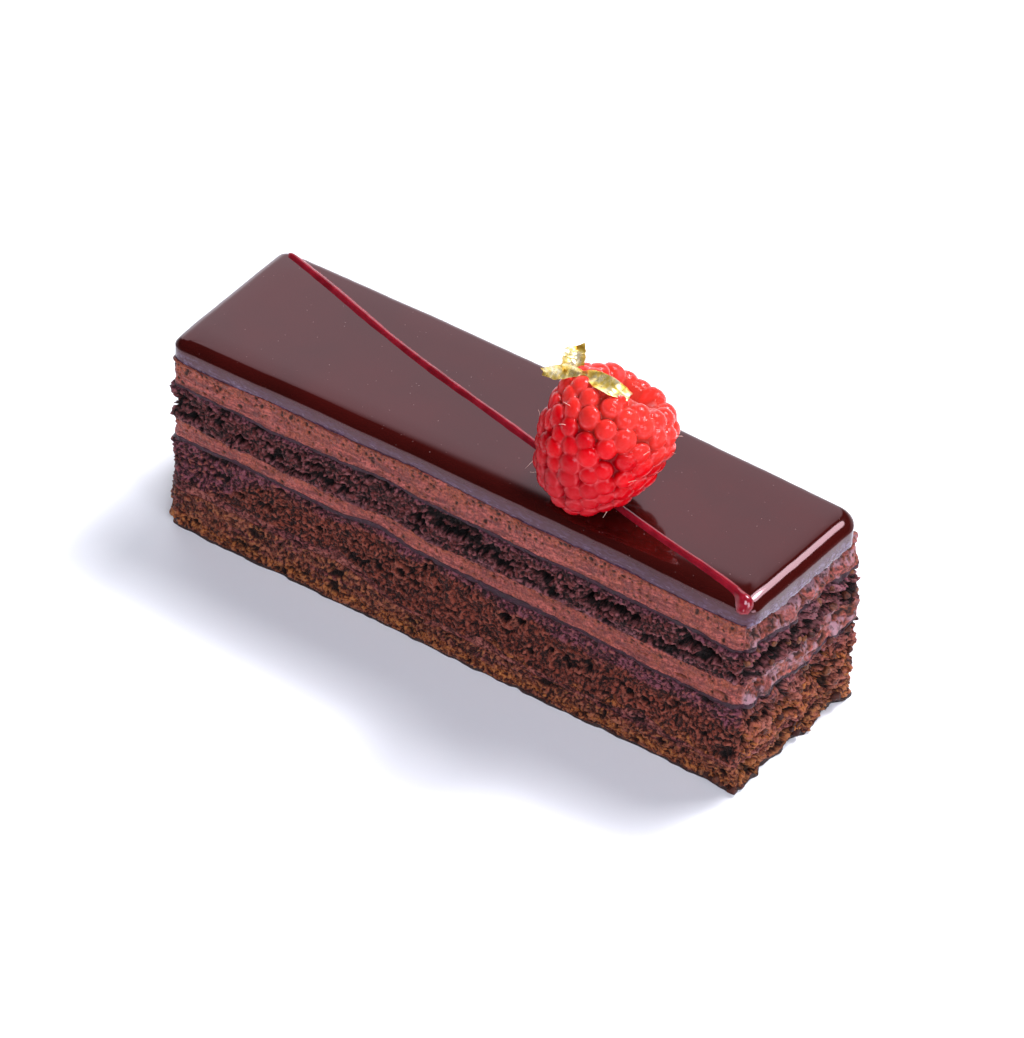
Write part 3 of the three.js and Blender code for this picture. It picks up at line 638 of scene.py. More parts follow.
def cut_layer(name, material):
    """One layer of the slice as a closed piece with crumbly cut sides; gives the points of those sides."""
    spec = LAYERS[name]
    below_name = list(BOUNDARIES)[list(BOUNDARIES).index(name) - 1]
    seed = 100 * list(BOUNDARIES).index(name)
    plan, normals = plan_outline([CAKE_CORNER] * 4, CRUMB_PITCH)
    steps = np.linalg.norm(np.roll(plan, -1, axis=0) - plan, axis=1)
    arc = np.concatenate([[0], np.cumsum(steps)[:-1]])
    total_arc = steps.sum()
    heights = boundary_heights(plan)
    low = heights[below_name] + LAYER_GAP
    high = heights[name]
    rows = np.linspace(0, 1, spec["rows"] + 1)
    z = low[:, None] + (high - low)[:, None] * rows
    count, height = z.shape
    points = np.dstack([np.repeat(plan[:, None], height, axis=1), z]).reshape(-1, 3)
    right_end = np.repeat(smoothstep(normals[:, 0], 0.4, 1.0), height)
    left_end = np.repeat(smoothstep(-normals[:, 0], 0.4, 1.0), height)
    torn = np.maximum(right_end, 0.5 * left_end)

    # Relief shared by all layers: the right end stands back at its foot and below the glaze and swells at
    # its back corner, and the long sides are ragged close to it
    shared = 0.16 * noise(points, 7, 3) + 0.10 * noise(points, 1.1, 4)
    back_corner = smoothstep(points[:, 0], 46, 50) * smoothstep(points[:, 1], 8, 13)
    swell = 0.6 * back_corner * smoothstep(27 - points[:, 2], 0, 6)
    lean = 0.7 * right_end * smoothstep(16 - points[:, 2], 0, 16)
    lean = lean + right_end * smoothstep(points[:, 2], 26, 29)
    shared = shared + torn * 0.7 * layered_noise(points, 3.0, 5, 3) - 0.1 * torn
    shared = shared + 0.3 * left_end + swell - lean
    ragged = smoothstep(points[:, 0], 46.5, 50) * (1 - right_end)
    shared = shared + ragged * (0.6 * layered_noise(points, 1.6, 9, 3) - 0.2)
    if spec["kind"] == "crumb":
        relief, pit, tint = crumb_relief(points, torn, spec, seed)
    else:
        relief, pit, tint = cream_relief(points, np.tile(rows, count), torn, spec, seed)
    front_start = arc[np.argmin(np.abs(plan[:, 0] + LENGTH / 2) + np.abs(plan[:, 1] + WIDTH / 2))]
    end_start = arc[np.argmin(np.abs(plan[:, 0] - LENGTH / 2) + np.abs(plan[:, 1] + WIDTH / 2))]
    holes = layer_holes(
        name,
        lambda x: front_start + x + LENGTH / 2,
        lambda y: end_start + y + WIDTH / 2,
        [(end_start + WIDTH, total_arc)],
        low.min(), high.max(),
    )
    grid_arc = np.repeat(arc[:, None], height, axis=1)
    cavities = hole_shares(grid_arc, z, total_arc, holes, points, seed + 77).ravel()
    inside = np.minimum(z - low[:, None], high[:, None] - z).ravel()
    relief = (relief + spec["stand"] - cavities) * smoothstep(inside, 0.0, 0.3) + shared
    relief = relief + 0.25 * (1 - smoothstep(points[:, 2], 0.0, 1.2)) * (0.6 + noise(points, 1.5, 8))
    sides = points.copy()
    sides[:, :2] += np.repeat(normals, height, axis=0) * relief[:, None]

    grid = relief.reshape(count, height)
    # crest and pit also steer the painted highlights on crests and the painted shade in hollows, gaps and
    # holes.
    attributes = {
        "crest": (grid - blurred(grid, CREST_REACH)).ravel() / CREST_HEIGHT,
        "pit": np.maximum(pit, np.clip(cavities / 0.9, 0, 1)) * smoothstep(inside, 0.0, 0.25),
        "tint": tint,
        "torn": torn,
        "rise": np.tile(rows, count),
    }
    if spec["kind"] == "crumb":
        attributes.update(colour_zones(name, points, torn, (high[:, None] - z).ravel()))

    inner_plan = plan[::CAP_STRIDE] * (1 - CAP_INSET / np.array([LENGTH / 2, WIDTH / 2]))
    inner_heights = boundary_heights(inner_plan)
    floor_ring = np.column_stack([inner_plan, inner_heights[below_name] + LAYER_GAP])
    roof_ring = np.column_stack([inner_plan, inner_heights[name]])
    bottom = np.arange(count) * height
    inner = np.arange(len(inner_plan)) + len(sides)
    faces = [grid_faces(count, height)]
    faces += cap_faces(bottom, inner, False)
    faces += cap_faces(bottom + height - 1, inner + len(inner_plan), True)
    extra = np.zeros(2 * len(inner_plan))
    attributes = {key: np.concatenate([value, extra]) for key, value in attributes.items()}
    all_points = np.concatenate([sides, floor_ring, roof_ring])
    add_piece(f"{name}_cut", all_points, faces, material, attributes, [name])
    return sides


def loose_crumbs(sides, material):
    """Crumbs that cling to the torn end and to the foot of its front corner."""
    random = np.random.default_rng(23)
    cut = np.concatenate([sides[name] for name in ("sponge_top", "sponge_middle", "sponge_bottom")])
    on_end = cut[cut[:, 0] > LENGTH / 2 - 0.6]
    right, front, low = FOOT_CORNER
    at_foot = cut[(cut[:, 0] > right) & (cut[:, 1] < front) & (cut[:, 2] < low)]
    places = [on_end[i] for i in random.integers(0, len(on_end), END_CRUMBS)]
    places += [at_foot[i] for i in random.integers(0, len(at_foot), FOOT_CRUMBS)]
    ball, triangles = round_ball(CRUMB_FINENESS)
    points = []
    faces = []
    tints = []
    for k, place in enumerate(places):
        size = random.uniform(*CRUMB_SIZES)
        shape = 1 + 0.35 * layered_noise(ball + 7.0 * k, 0.9, 950, 3)
        stretch = random.uniform(0.7, 1.3, 3)
        lump = ball * (size * shape)[:, None] * stretch
        lift = max(0.0, 0.02 - (place[2] + lump[:, 2].min()))
        centre = place + (0.0, 0.0, lift)
        faces.append(triangles + k * len(ball))
        points.append(lump + centre)
        tints.append(np.full(len(ball), random.uniform()))
    faces = [np.concatenate(faces)]
    attributes = {"tint": np.concatenate(tints)}
    add_piece("loose_crumbs", np.concatenate(points), faces, material, attributes)


# Materials

def linear(hex_colour):
    """Linear red, green, blue and alpha of a colour written as six hexadecimal digits."""
    values = [int(hex_colour[k:k + 2], 16) / 255 for k in (0, 2, 4)]
    return [v / 12.92 if v <= 0.04045 else ((v + 0.055) / 1.055) ** 2.4 for v in values] + [1.0]


class Nodes:
    """A material's node tree, with short calls for the nodes used here."""

    def __init__(self, name):
        self.material = bpy.data.materials.new(name)
        self.material.use_nodes = True
        self.tree = self.material.node_tree
        self.shader = self.tree.nodes["Principled BSDF"]
        place = self.new("TexCoord").outputs["Object"]
        scale = self.new("VectorMath")
        scale.operation = "SCALE"
        scale.inputs["Scale"].default_value = 1 / MM
        self.put(place, scale.inputs[0])
        self.millimetres = scale.outputs[0]

    def put(self, source, target):
        """Links a socket, or sets a plain value."""
        if isinstance(source, bpy.types.NodeSocket):
            self.tree.links.new(source, target)
        else:
            target.default_value = source

    def new(self, kind, **inputs):
        """A new node with the given inputs, written with underscores for spaces."""
        node = self.tree.nodes.new("ShaderNode" + kind)
        for key, value in inputs.items():
            self.put(value, node.inputs[key.replace("_", " ")])
        return node

    def set(self, **inputs):
        """Gives the shader the given inputs, written with underscores for spaces."""
        for key, value in inputs.items():
            self.put(value, self.shader.inputs[key.replace("_", " ")])

    def stretched(self, factors):
        node = self.new("VectorMath")
        node.operation = "MULTIPLY"
        self.put(self.millimetres, node.inputs[0])
        self.put(factors, node.inputs[1])
        return node.outputs[0]

    def noise(self, scale, detail=2.0, place=None, roughness=0.55):
        place = place or self.millimetres
        node = self.new("TexNoise", Vector=place, Scale=scale, Detail=detail, Roughness=roughness)
        return node.outputs["Fac"]

    def cells(self, scale):
        return self.new("TexVoronoi", Vector=self.millimetres, Scale=scale).outputs["Distance"]

    def attribute(self, name):
        node = self.new("Attribute")
        node.attribute_name = name
        return node.outputs["Fac"]

    def ranged(self, value, low, high, to_low=0.0, to_high=1.0):
        node = self.new("MapRange", From_Min=low, From_Max=high, To_Min=to_low, To_Max=to_high)
        node.clamp = True
        self.put(value, node.inputs["Value"])
        return node.outputs["Result"]

    def math(self, operation, first, second):
        node = self.new("Math")
        node.operation = operation
        self.put(first, node.inputs[0])
        self.put(second, node.inputs[1])
        return node.outputs[0]

    def product(self, first, second):
        return self.math("MULTIPLY", first, second)

    def mix(self, share, first, second):
        node = self.new("Mix")
        node.data_type = "RGBA"
        self.put(share, node.inputs[0])
        self.put(first, node.inputs[6])
        self.put(second, node.inputs[7])
        return node.outputs[2]

    def over(self, colour, share, top):
        """A colour with a share of another one laid over it, which is written in hexadecimal digits."""
        return self.mix(share, colour, linear(top))

    def ramp(self, value, stops):
        node = self.new("ValToRGB", Fac=value)
        elements = node.color_ramp.elements
        while len(elements) < len(stops):
            elements.new(0.5)
        for element, (position, colour) in zip(elements, stops):
            element.position = position
            element.color = linear(colour)
        return node.outputs["Color"]

    def grades(self, value, colours):
        """Ramp of a dark, a middle and a light colour."""
        return self.ramp(value, list(zip((0.0, 0.5, 1.0), colours)))

    def bump(self, height, distance, strength):
        node = self.new("Bump", Strength=strength, Distance=distance * MM, Height=height)
        self.set(Normal=node.outputs["Normal"])


def crumb_material(name, grades, toast, stain, smear, crest, pit):
    """Moist crumb with golden, stained and smeared zones; painted highlights on crests and flecks, painted
    shade in hollows and gaps.
    """
    nodes = Nodes(name)
    mixed = nodes.product(nodes.attribute("tint"), 0.3)
    mixed = nodes.math("ADD", mixed, nodes.product(nodes.noise(3.4, 4, roughness=0.7), 0.55))
    mixed = nodes.math("ADD", mixed, nodes.product(nodes.noise(0.5, 3), 0.15))
    mixed = nodes.ranged(mixed, 0.39, 0.61)
    colour = nodes.grades(mixed, grades)
    for zone, colours in (("toast", toast), ("stain", stain), ("smear", smear)):
        colour = nodes.mix(nodes.attribute(zone), colour, nodes.grades(mixed, colours))
    height = nodes.attribute("crest")
    # Painted highlight: crests are lightened towards the crest colour, in patches.
    pale = nodes.product(nodes.ranged(height, 0.2, 1.3), nodes.ranged(nodes.noise(1.4, 4), 0.42, 0.6))
    colour = nodes.over(colour, nodes.product(pale, 0.8), crest)
    # Painted glints: small random flecks in the crest colour.
    colour = nodes.over(colour, nodes.ranged(nodes.noise(4.2, 2), 0.6, 0.74, 0.0, 0.6), crest)
    # Painted shade: points lower than their neighbours darken towards the darkest grade.
    colour = nodes.over(colour, nodes.ranged(height, -0.2, -1.6, 0.0, 0.75), grades[0])
    # Painted shade: gaps, bubbles and holes darken towards the pit colour.
    colour = nodes.over(colour, nodes.ranged(nodes.attribute("pit"), 0.1, 0.9, 0.0, 0.94), pit)
    roughness = nodes.ranged(nodes.noise(1.1, 3), 0.38, 0.62, 0.35, 0.75)
    nodes.set(Base_Color=colour, Roughness=roughness, Specular_IOR_Level=0.2)
    nodes.bump(nodes.noise(4.5, 4, roughness=0.65), 0.28, 1.0)
    return nodes.material


def loose_crumb_material():
    nodes = Nodes("loose_crumb")
    grain = nodes.noise(2.6, 4)
    kinds = [(0.0, "32130f"), (0.45, "5a2c1d"), (0.8, "7a4a2e"), (1.0, "72403c")]
    colour = nodes.ramp(nodes.attribute("tint"), kinds)
    colour = nodes.over(colour, nodes.ranged(grain, 0.35, 0.6, 0.75, 0.0), "220d0a")
    roughness = nodes.ranged(grain, 0.3, 0.7, 0.4, 0.75)
    nodes.set(Base_Color=colour, Roughness=roughness, Specular_IOR_Level=0.2)
    nodes.bump(nodes.noise(4.0, 3), 0.15, 0.8)
    return nodes.material


def cream_material(name, base, warm, lilac, crumbs, dark):
    """Whipped ganache: smooth and streaked, warm round its bubbles, mixed with crumb where torn, with
    painted shade in hollows and bubbles.
    """
    nodes = Nodes(name)
    streaks = nodes.noise(1.0, 4, nodes.stretched((0.35, 0.35, 2.2)))
    colour = nodes.mix(nodes.ranged(streaks, 0.38, 0.62), linear(base[0]), linear(base[1]))
    colour = nodes.over(colour, nodes.ranged(nodes.noise(0.28, 3), 0.5, 0.7, 0.0, 0.6), warm)
    # Warmer towards the top of the layer, in patches.
    upper = nodes.ranged(nodes.attribute("rise"), 0.35, 0.95, 0.0, 0.8)
    warm_top = nodes.product(upper, nodes.ranged(nodes.noise(1.1, 4), 0.4, 0.6))
    colour = nodes.over(colour, warm_top, warm)
    grain = nodes.noise(2.6, 4, roughness=0.7)
    colour = nodes.over(colour, nodes.ranged(grain, 0.46, 0.6, 0.0, 0.8), base[2])
    colour = nodes.over(colour, nodes.ranged(nodes.noise(3.6, 3), 0.54, 0.68, 0.0, 0.7), dark)
    torn = nodes.attribute("torn")
    smears = nodes.ranged(nodes.noise(0.4, 3), 0.46, 0.58, 0.0, 0.9)
    colour = nodes.over(colour, nodes.product(torn, smears), lilac)
    specks = nodes.ranged(nodes.noise(1.2, 5), 0.5, 0.62, 0.0, 0.9)
    colour = nodes.over(colour, nodes.product(torn, specks), crumbs)
    # Painted shade: points lower than their neighbours darken.
    colour = nodes.over(colour, nodes.ranged(nodes.attribute("crest"), -0.2, -1.2, 0.0, 0.55), dark)
    pit = nodes.attribute("pit")
    colour = nodes.over(colour, nodes.ranged(pit, 0.02, 0.3, 0.0, 0.6), warm)
    # Painted shade: bubbles and torn gaps darken towards the dark colour.
    colour = nodes.over(colour, nodes.ranged(pit, 0.15, 0.7, 0.0, 0.95), dark)
    roughness = nodes.ranged(nodes.noise(1.4, 2), 0.35, 0.65, 0.36, 0.6)
    nodes.set(Base_Color=colour, Roughness=roughness, Specular_IOR_Level=0.3)
    nodes.bump(nodes.noise(3.2, 4, roughness=0.65), 0.22, 0.9)
    return nodes.material


def jam_material(name, low, high, glint):
    """Thin moist film of purple jam, with painted glints and painted shade in its hollows."""
    nodes = Nodes(name)
    blotches = nodes.noise(0.9, 4)
    colour = nodes.mix(nodes.ranged(blotches, 0.35, 0.65), linear(low), linear(high))
    # Painted glints: random lighter spots in the glint colour.
    colour = nodes.over(colour, nodes.ranged(nodes.noise(2.2, 3), 0.5, 0.7, 0.0, 0.55), glint)
    # Painted shade: points lower than their neighbours darken.
    colour = nodes.over(colour, nodes.ranged(nodes.attribute("crest"), -0.2, -1.2, 0.0, 0.6), low)
    roughness = nodes.ranged(blotches, 0.3, 0.7, 0.35, 0.6)
    nodes.set(Base_Color=colour, Roughness=roughness, Specular_IOR_Level=0.3)
    nodes.bump(nodes.noise(2.5, 3), 0.1, 0.7)
    return nodes.material


def chocolate_material():
    nodes = Nodes("chocolate")
    blotches = nodes.noise(0.8, 4)
    stops = [(0.0, "1a0a07"), (0.6, "2a120c"), (1.0, "3c2015")]
    colour = nodes.ramp(nodes.ranged(blotches, 0.3, 0.7), stops)
    nodes.set(Base_Color=colour, Roughness=nodes.ranged(blotches, 0.3, 0.7, 0.4, 0.65))
    nodes.bump(nodes.noise(3.0, 3), 0.1, 0.5)
    return nodes.material


def glaze_material():
    """Dark mirror glaze with a few trapped specks; its thin lower edge is matter and streaked, with painted
    reflection of the bright floor on it.
    """
    nodes = Nodes("glaze")
    cloud = nodes.ranged(nodes.noise(0.08, 3), 0.35, 0.65)
    colour = nodes.mix(cloud, linear("2c0705"), linear("330806"))
    crowded = nodes.ranged(nodes.noise(0.35, 1), 0.42, 0.58)
    speck = nodes.product(nodes.ranged(nodes.cells(0.8), 0.09, 0.04), crowded)
    colour = nodes.over(colour, nodes.product(speck, 0.22), "c0a4a0")
    dashes = nodes.ranged(nodes.noise(1.0, 4, nodes.stretched((0.7, 0.7, 1.8))), 0.46, 0.6)
    side = nodes.attribute("skirt")
    film = nodes.product(side, dashes)
    # Painted reflection of the bright floor: the upright side is lightened to grey-purple, and further
    # along the streaks of its matter film.
    colour = nodes.over(colour, nodes.ranged(side, 0.0, 1.0, 0.0, 0.55), "4a3a4c")
    colour = nodes.over(colour, nodes.product(film, 0.5), "524460")
    # Painted reflection of the bright floor: bluish patches on the side.
    painted_floor_sheen = nodes.product(nodes.attribute("painted_floor_sheen"), nodes.ranged(nodes.noise(1.5, 3), 0.45, 0.65))
    colour = nodes.over(colour, nodes.product(painted_floor_sheen, 0.5), "8a82a0")
    matter = nodes.ranged(film, 0.0, 1.0, 0.09, 0.4)
    roughness = nodes.math("ADD", nodes.product(speck, 0.2), matter)
    nodes.set(Base_Color=colour, Roughness=roughness, IOR=1.5, Specular_Tint=(1.0, 0.58, 0.62, 1.0))
    nodes.bump(nodes.noise(0.12, 2), 0.05, 0.12)
    return nodes.material


def coulis_material():
    nodes = Nodes("coulis")
    cloud = nodes.noise(0.5, 3)
    colour = nodes.mix(nodes.ranged(cloud, 0.35, 0.65), linear("6a0c18"), linear("841624"))
    nodes.set(Base_Color=colour, Roughness=nodes.ranged(cloud, 0.3, 0.7, 0.06, 0.12))
    nodes.set(Subsurface_Weight=0.25, Subsurface_Radius=(1.0, 0.12, 0.12), Subsurface_Scale=0.8 * MM)
    nodes.bump(nodes.noise(0.9, 2), 0.05, 0.2)
    return nodes.material


def raspberry_material():
    """Juicy skin with painted shade in valleys and below, painted sheen and rims on brighter domes, and
    painted glow at stem and hollow.
    """
    nodes = Nodes("raspberry")
    dome = nodes.attribute("dome")
    # Painted shade: darker towards the valleys between drupelets, brighter on the domes.
    colour = nodes.ramp(dome, [(0.0, "640003"), (0.4, "bc0006"), (1.0, "d20812")])
    colour = nodes.over(colour, nodes.product(nodes.attribute("tint"), 0.5), "9c0412")
    low = nodes.attribute("low")
    # Painted shade on the berry's lower side, towards its apex.
    colour = nodes.over(colour, nodes.ranged(low, 0.45, 1.0, 0.0, 0.65), "90000e")
    # Painted glow towards the stem end.
    colour = nodes.over(colour, nodes.ranged(low, 0.2, 0.0, 0.0, 0.35), "f0503e")
    # Painted glow in the stem hollow.
    colour = nodes.over(colour, nodes.product(nodes.attribute("hollow"), 0.7), "cc2414")
    # Painted sheen: pale patches on the domes.
    painted_dome_sheen = nodes.ranged(nodes.noise(1.2, 3), 0.5, 0.72, 0.0, 0.1)
    colour = nodes.over(colour, nodes.product(painted_dome_sheen, dome), "e05060")
    # Painted highlight: broken pale rims round the domes.
    ring = nodes.product(nodes.attribute("ring"), nodes.ranged(nodes.noise(0.6, 2), 0.4, 0.6))
    colour = nodes.over(colour, nodes.product(ring, 0.25), "f07478")
    roughness = nodes.ranged(nodes.noise(1.5, 3), 0.3, 0.7, 0.05, 0.1)
    nodes.set(Base_Color=colour, Roughness=roughness, Specular_IOR_Level=0.2, IOR=1.4)
    nodes.set(Subsurface_Weight=0.18, Subsurface_Radius=(1.0, 0.1, 0.08), Subsurface_Scale=1.5 * MM)
    nodes.bump(nodes.noise(3.0, 3), 0.04, 0.3)
    return nodes.material


def hair_material():
    nodes = Nodes("raspberry_hairs")
    colour = nodes.mix(nodes.noise(0.8, 2), linear("e8b0a0"), linear("f6dcc8"))
    nodes.set(Base_Color=colour, Roughness=0.45)
    return nodes.material


def gold_material():
    """Crumpled gold leaf with paler patches."""
    nodes = Nodes("gold_leaf")
    patches = nodes.ranged(nodes.noise(0.6, 3), 0.3, 0.7)
    colour = nodes.ramp(patches, [(0.0, "b8821c"), (0.4, "ecca5c"), (1.0, "fff4d2")])
    roughness = nodes.ranged(nodes.noise(1.5, 3), 0.3, 0.7, 0.24, 0.36)
    nodes.set(Base_Color=colour, Roughness=roughness, Metallic=0.7)
    nodes.bump(nodes.cells(1.3), 0.08, 0.4)
    return nodes.material


# Glaze and coulis

def glaze_piece(material):
    """Glaze with a rounded edge and a lip over the cut sides; gives its surface, to find heights on."""
    rings = []
    skirt = []
    plan, normals = plan_outline(GLAZE_CORNERS, GLAZE_PITCH)
    radius = side_shares(normals) @ EDGE_RADII
    count = len(plan)
    spot = np.column_stack([plan, np.zeros(count)])
    under = boundary_heights(plan)["ganache_top"]
    hang = GLAZE_LIP * (1 + 1.2 * layered_noise(spot, 3.0, 71, 3) + 1.0 * noise(spot, 0.9, 75))
    overhang = side_shares(normals) @ GLAZE_OVERHANGS
    overhang = overhang + 0.08 * noise(spot, 6.0, 73) + 0.03 * noise(spot, 1.6, 74)

    def ring(offset, z, share):
        outer = plan + normals * np.asarray(offset).reshape(-1, 1)
        rings.append(np.column_stack([outer, np.broadcast_to(z, count)]))
        skirt.append(np.full(count, share))

    def edge_ring(offset, drop):
        outer = plan + normals * offset.reshape(-1, 1)
        ring(offset, top_height(outer[:, 0]) - drop - glaze_sag(outer[:, 0], outer[:, 1]), 0.0)

    def inner_ring(inset, height=None):
        inner = plan * (1 - inset / np.array([LENGTH / 2, WIDTH / 2]))
        inner[:, 0] *= 1 - RING_ROUNDING * (2 * inset / WIDTH) ** 2 * (2 * plan[:, 1] / WIDTH) ** 2
        if height is None:
            height = top_height(inner[:, 0]) - glaze_sag(inner[:, 0], inner[:, 1])
        rings.append(np.column_stack([inner, height]))
        skirt.append(np.zeros(count))

    inner_ring(CAP_INSET, under + LAYER_GAP)
    inner_ring(0.6, under + LAYER_GAP)
    low = under - hang
    ring(overhang - LIP_WIDTH, low + LIP_BEVEL / 2, 1.0)
    ring(overhang - LIP_TURN, low, 1.0)
    fillet_drop = radius * (1 - math.cos(EDGE_SLOPE)) + EDGE_FILLET * math.cos(EDGE_SLOPE)
    high = top_height(plan[:, 0]) - fillet_drop - glaze_sag(plan[:, 0], plan[:, 1])
    for k in range(GLAZE_SIDE_STEPS):
        share = k / GLAZE_SIDE_STEPS
        ring(overhang, low + LIP_BEVEL + (high - low - LIP_BEVEL) * share, 1.0 - share)
    for k in range(GLAZE_FILLET_STEPS):
        slope = math.pi / 2 + (EDGE_SLOPE - math.pi / 2) * k / GLAZE_FILLET_STEPS
        offset = overhang - EDGE_FILLET * (1 - math.sin(slope))
        edge_ring(offset, fillet_drop - EDGE_FILLET * math.cos(slope))
    steep_start = EDGE_FILLET * (1 - math.sin(EDGE_SLOPE)) + radius * math.sin(EDGE_SLOPE)
    for k in range(GLAZE_ARC_STEPS + 1):
        slope = EDGE_SLOPE * (1 - k / GLAZE_ARC_STEPS)
        edge_ring(overhang - steep_start + radius * math.sin(slope), radius * (1 - math.cos(slope)))
    for inset in GLAZE_TOP_INSETS:
        inner_ring(inset)
    height = len(rings)
    points = np.stack(rings, axis=1).reshape(-1, 3)
    faces = [grid_faces(count, height)]
    bottom = np.arange(count) * height
    faces.append(bottom[None, ::-1])
    faces.append((bottom + height - 1)[None])
    skirt = np.stack(skirt, axis=1).ravel()
    # Where the side gets its painted bluish reflection of the bright floor: in patches at the left end and
    # all along the right end.
    patches = smoothstep(layered_noise(points, 2.0, 76, 3), -0.1, 0.4)
    right_side = smoothstep(points[:, 0], LENGTH / 2 - 0.8, LENGTH / 2)
    painted_floor_sheen = skirt * np.maximum(smoothstep(-points[:, 0], 34, 42) * patches, right_side)
    attributes = {"skirt": skirt, "painted_floor_sheen": painted_floor_sheen}
    piece = add_piece("glaze_coat", points, faces, material, attributes, ["glaze"])
    shape = bmesh.new()
    shape.from_mesh(piece.data)
    middles = [face for face in shape.faces if len(face.verts) > 4]
    bmesh.ops.triangulate(shape, faces=middles, ngon_method="BEAUTY")
    shape.to_mesh(piece.data)
    surface = BVHTree.FromBMesh(shape)
    shape.free()
    return surface


def heights_on(surface, plan):
    """Heights of a surface over points of the plan, and of its lowest such place where it has none."""
    heights = np.full(len(plan), np.nan)
    for k, (x, y) in enumerate(plan + SHIFT[:2]):
        hit = surface.ray_cast(Vector((x * MM, y * MM, 2 * HEIGHT * MM)), Vector((0, 0, -1)))[0]
        if hit is not None:
            heights[k] = hit.z / MM
    return np.where(np.isnan(heights), np.nanmin(heights), heights)


def spline(points, samples):
    """Points spaced evenly along a smooth curve through the given ones."""
    control = np.array(points, float)
    padded = np.concatenate([[2 * control[0] - control[1]], control, [2 * control[-1] - control[-2]]])
    fine = []
    for k in range(len(control) - 1):
        a, b, c, d = padded[k:k + 4]
        t = np.linspace(0, 1, 40, endpoint=False)[:, None]
        fine.append(0.5 * (2 * b + (c - a) * t + (2 * a - 5 * b + 4 * c - d) * t ** 2
                           + (3 * b - a - 3 * c + d) * t ** 3))
    fine = np.concatenate(fine + [control[-1:]])
    length = np.concatenate([[0], np.cumsum(np.linalg.norm(np.diff(fine, axis=0), axis=1))])
    wanted = np.linspace(0, length[-1], samples)
    return np.stack([np.interp(wanted, length, fine[:, k]) for k in range(fine.shape[1])], axis=1)


def coulis_piece(material, surface):
    """Soft ridge of coulis on the glaze, a little uneven, with a full drop at its front end."""
    samples = COULIS_SAMPLES
    route = spline(COULIS_ROUTE, samples)
    tangent = unit(np.gradient(route, axis=0))
    across = np.column_stack([tangent[:, 1], -tangent[:, 0]])
    share = np.linspace(0, 1, samples)
    length = np.linalg.norm(np.diff(route, axis=0), axis=1).sum()
    from_end = np.minimum(share, 1 - share) * length
    spot = np.column_stack([route, np.zeros(samples)])
    size = 1 + 0.10 * noise(spot, 5.0, 81) + 0.05 * noise(spot, 1.5, 82)
    size *= 1 + 0.5 * smoothstep((1 - share) * length, 3.5, 1.0)
    blunt = np.sqrt(np.clip(1 - (1 - np.clip(from_end / 1.2, 0, 1)) ** 2, 0.0004, 1))
    size *= blunt
    across_share = np.cos(np.linspace(0, math.pi, COULIS_SIDES + 1))
    sideways = COULIS_WIDTH / 2 * size[:, None] * across_share
    plan = route[:, None] + across[:, None] * sideways[..., None]
    base = heights_on(surface, plan.reshape(-1, 2)).reshape(plan.shape[:2])
    fullness = 1.35 - 0.85 * smoothstep((1 - share) * length, 3.0, 1.0)
    rise = COULIS_HEIGHT * size[:, None] * (1 - across_share ** 2) ** fullness[:, None]
    bead = np.dstack([plan, base + rise - COULIS_SINK])
    under = np.column_stack([route, heights_on(surface, route) - COULIS_ROOT])
    points = np.concatenate([bead, under[:, None]], axis=1)
    ring = COULIS_SIDES + 2
    faces = []
    for step in range(samples - 1):
        here = step * ring + np.arange(ring)
        there = here + ring
        faces.append(np.stack([here, there, np.roll(there, -1), np.roll(here, -1)], axis=1))
    start = np.arange(ring)[None]
    end = start[:, ::-1] + (samples - 1) * ring
    faces = [np.concatenate(faces), start, end]
    add_piece("coulis_bead", points.reshape(-1, 3), faces, material, None, ["coulis_line"])


# Raspberry

def scatter(i, j):
    """Repeatable value between -1 and 1 for a pair of whole numbers."""
    value = math.sin(i * 127.1 + j * 311.7) * 43758.5453
    return 2 * (value - math.floor(value)) - 1


def berry_radius(cosine):
    """Distance from the middle of the berry to its skin, in directions at the given cosines to the apex."""
    sine = np.sqrt(np.maximum(1 - cosine ** 2, 0))
    power = BERRY_STEM_POWER + (BERRY_APEX_POWER - BERRY_STEM_POWER) * smoothstep(cosine, -0.5, 0.5)
    breadth = BERRY_RADIUS * (1 - BERRY_FLARE * cosine)
    return ((np.abs(cosine) / BERRY_HALF_LENGTH) ** power + (sine / breadth) ** power) ** (-1 / power)


def drupelet_directions():
    """Directions of the drupelets from the middle of the berry, in rings from its stem end to its apex."""
    directions = []
    for ring in range(DRUPELET_RINGS):
        polar = math.pi * (DRUPELET_FIRST_RING + (1 - DRUPELET_FIRST_RING) * ring / (DRUPELET_RINGS - 1))
        around = 2 * math.pi * float(berry_radius(np.array(-math.cos(polar)))) * math.sin(polar)
        count = max(1, round(around / DRUPELET_SPACING))
        for k in range(count):
            turn = (k + 0.5 * (ring % 2) + DRUPELET_JITTER * scatter(ring, k)) / count * 2 * math.pi
            angle = polar + DRUPELET_JITTER * scatter(ring + 20, k) * DRUPELET_SPACING / BERRY_RADIUS
            directions.append((
                math.cos(turn) * math.sin(angle), math.sin(turn) * math.sin(angle), -math.cos(angle),
            ))
    return np.array(directions)


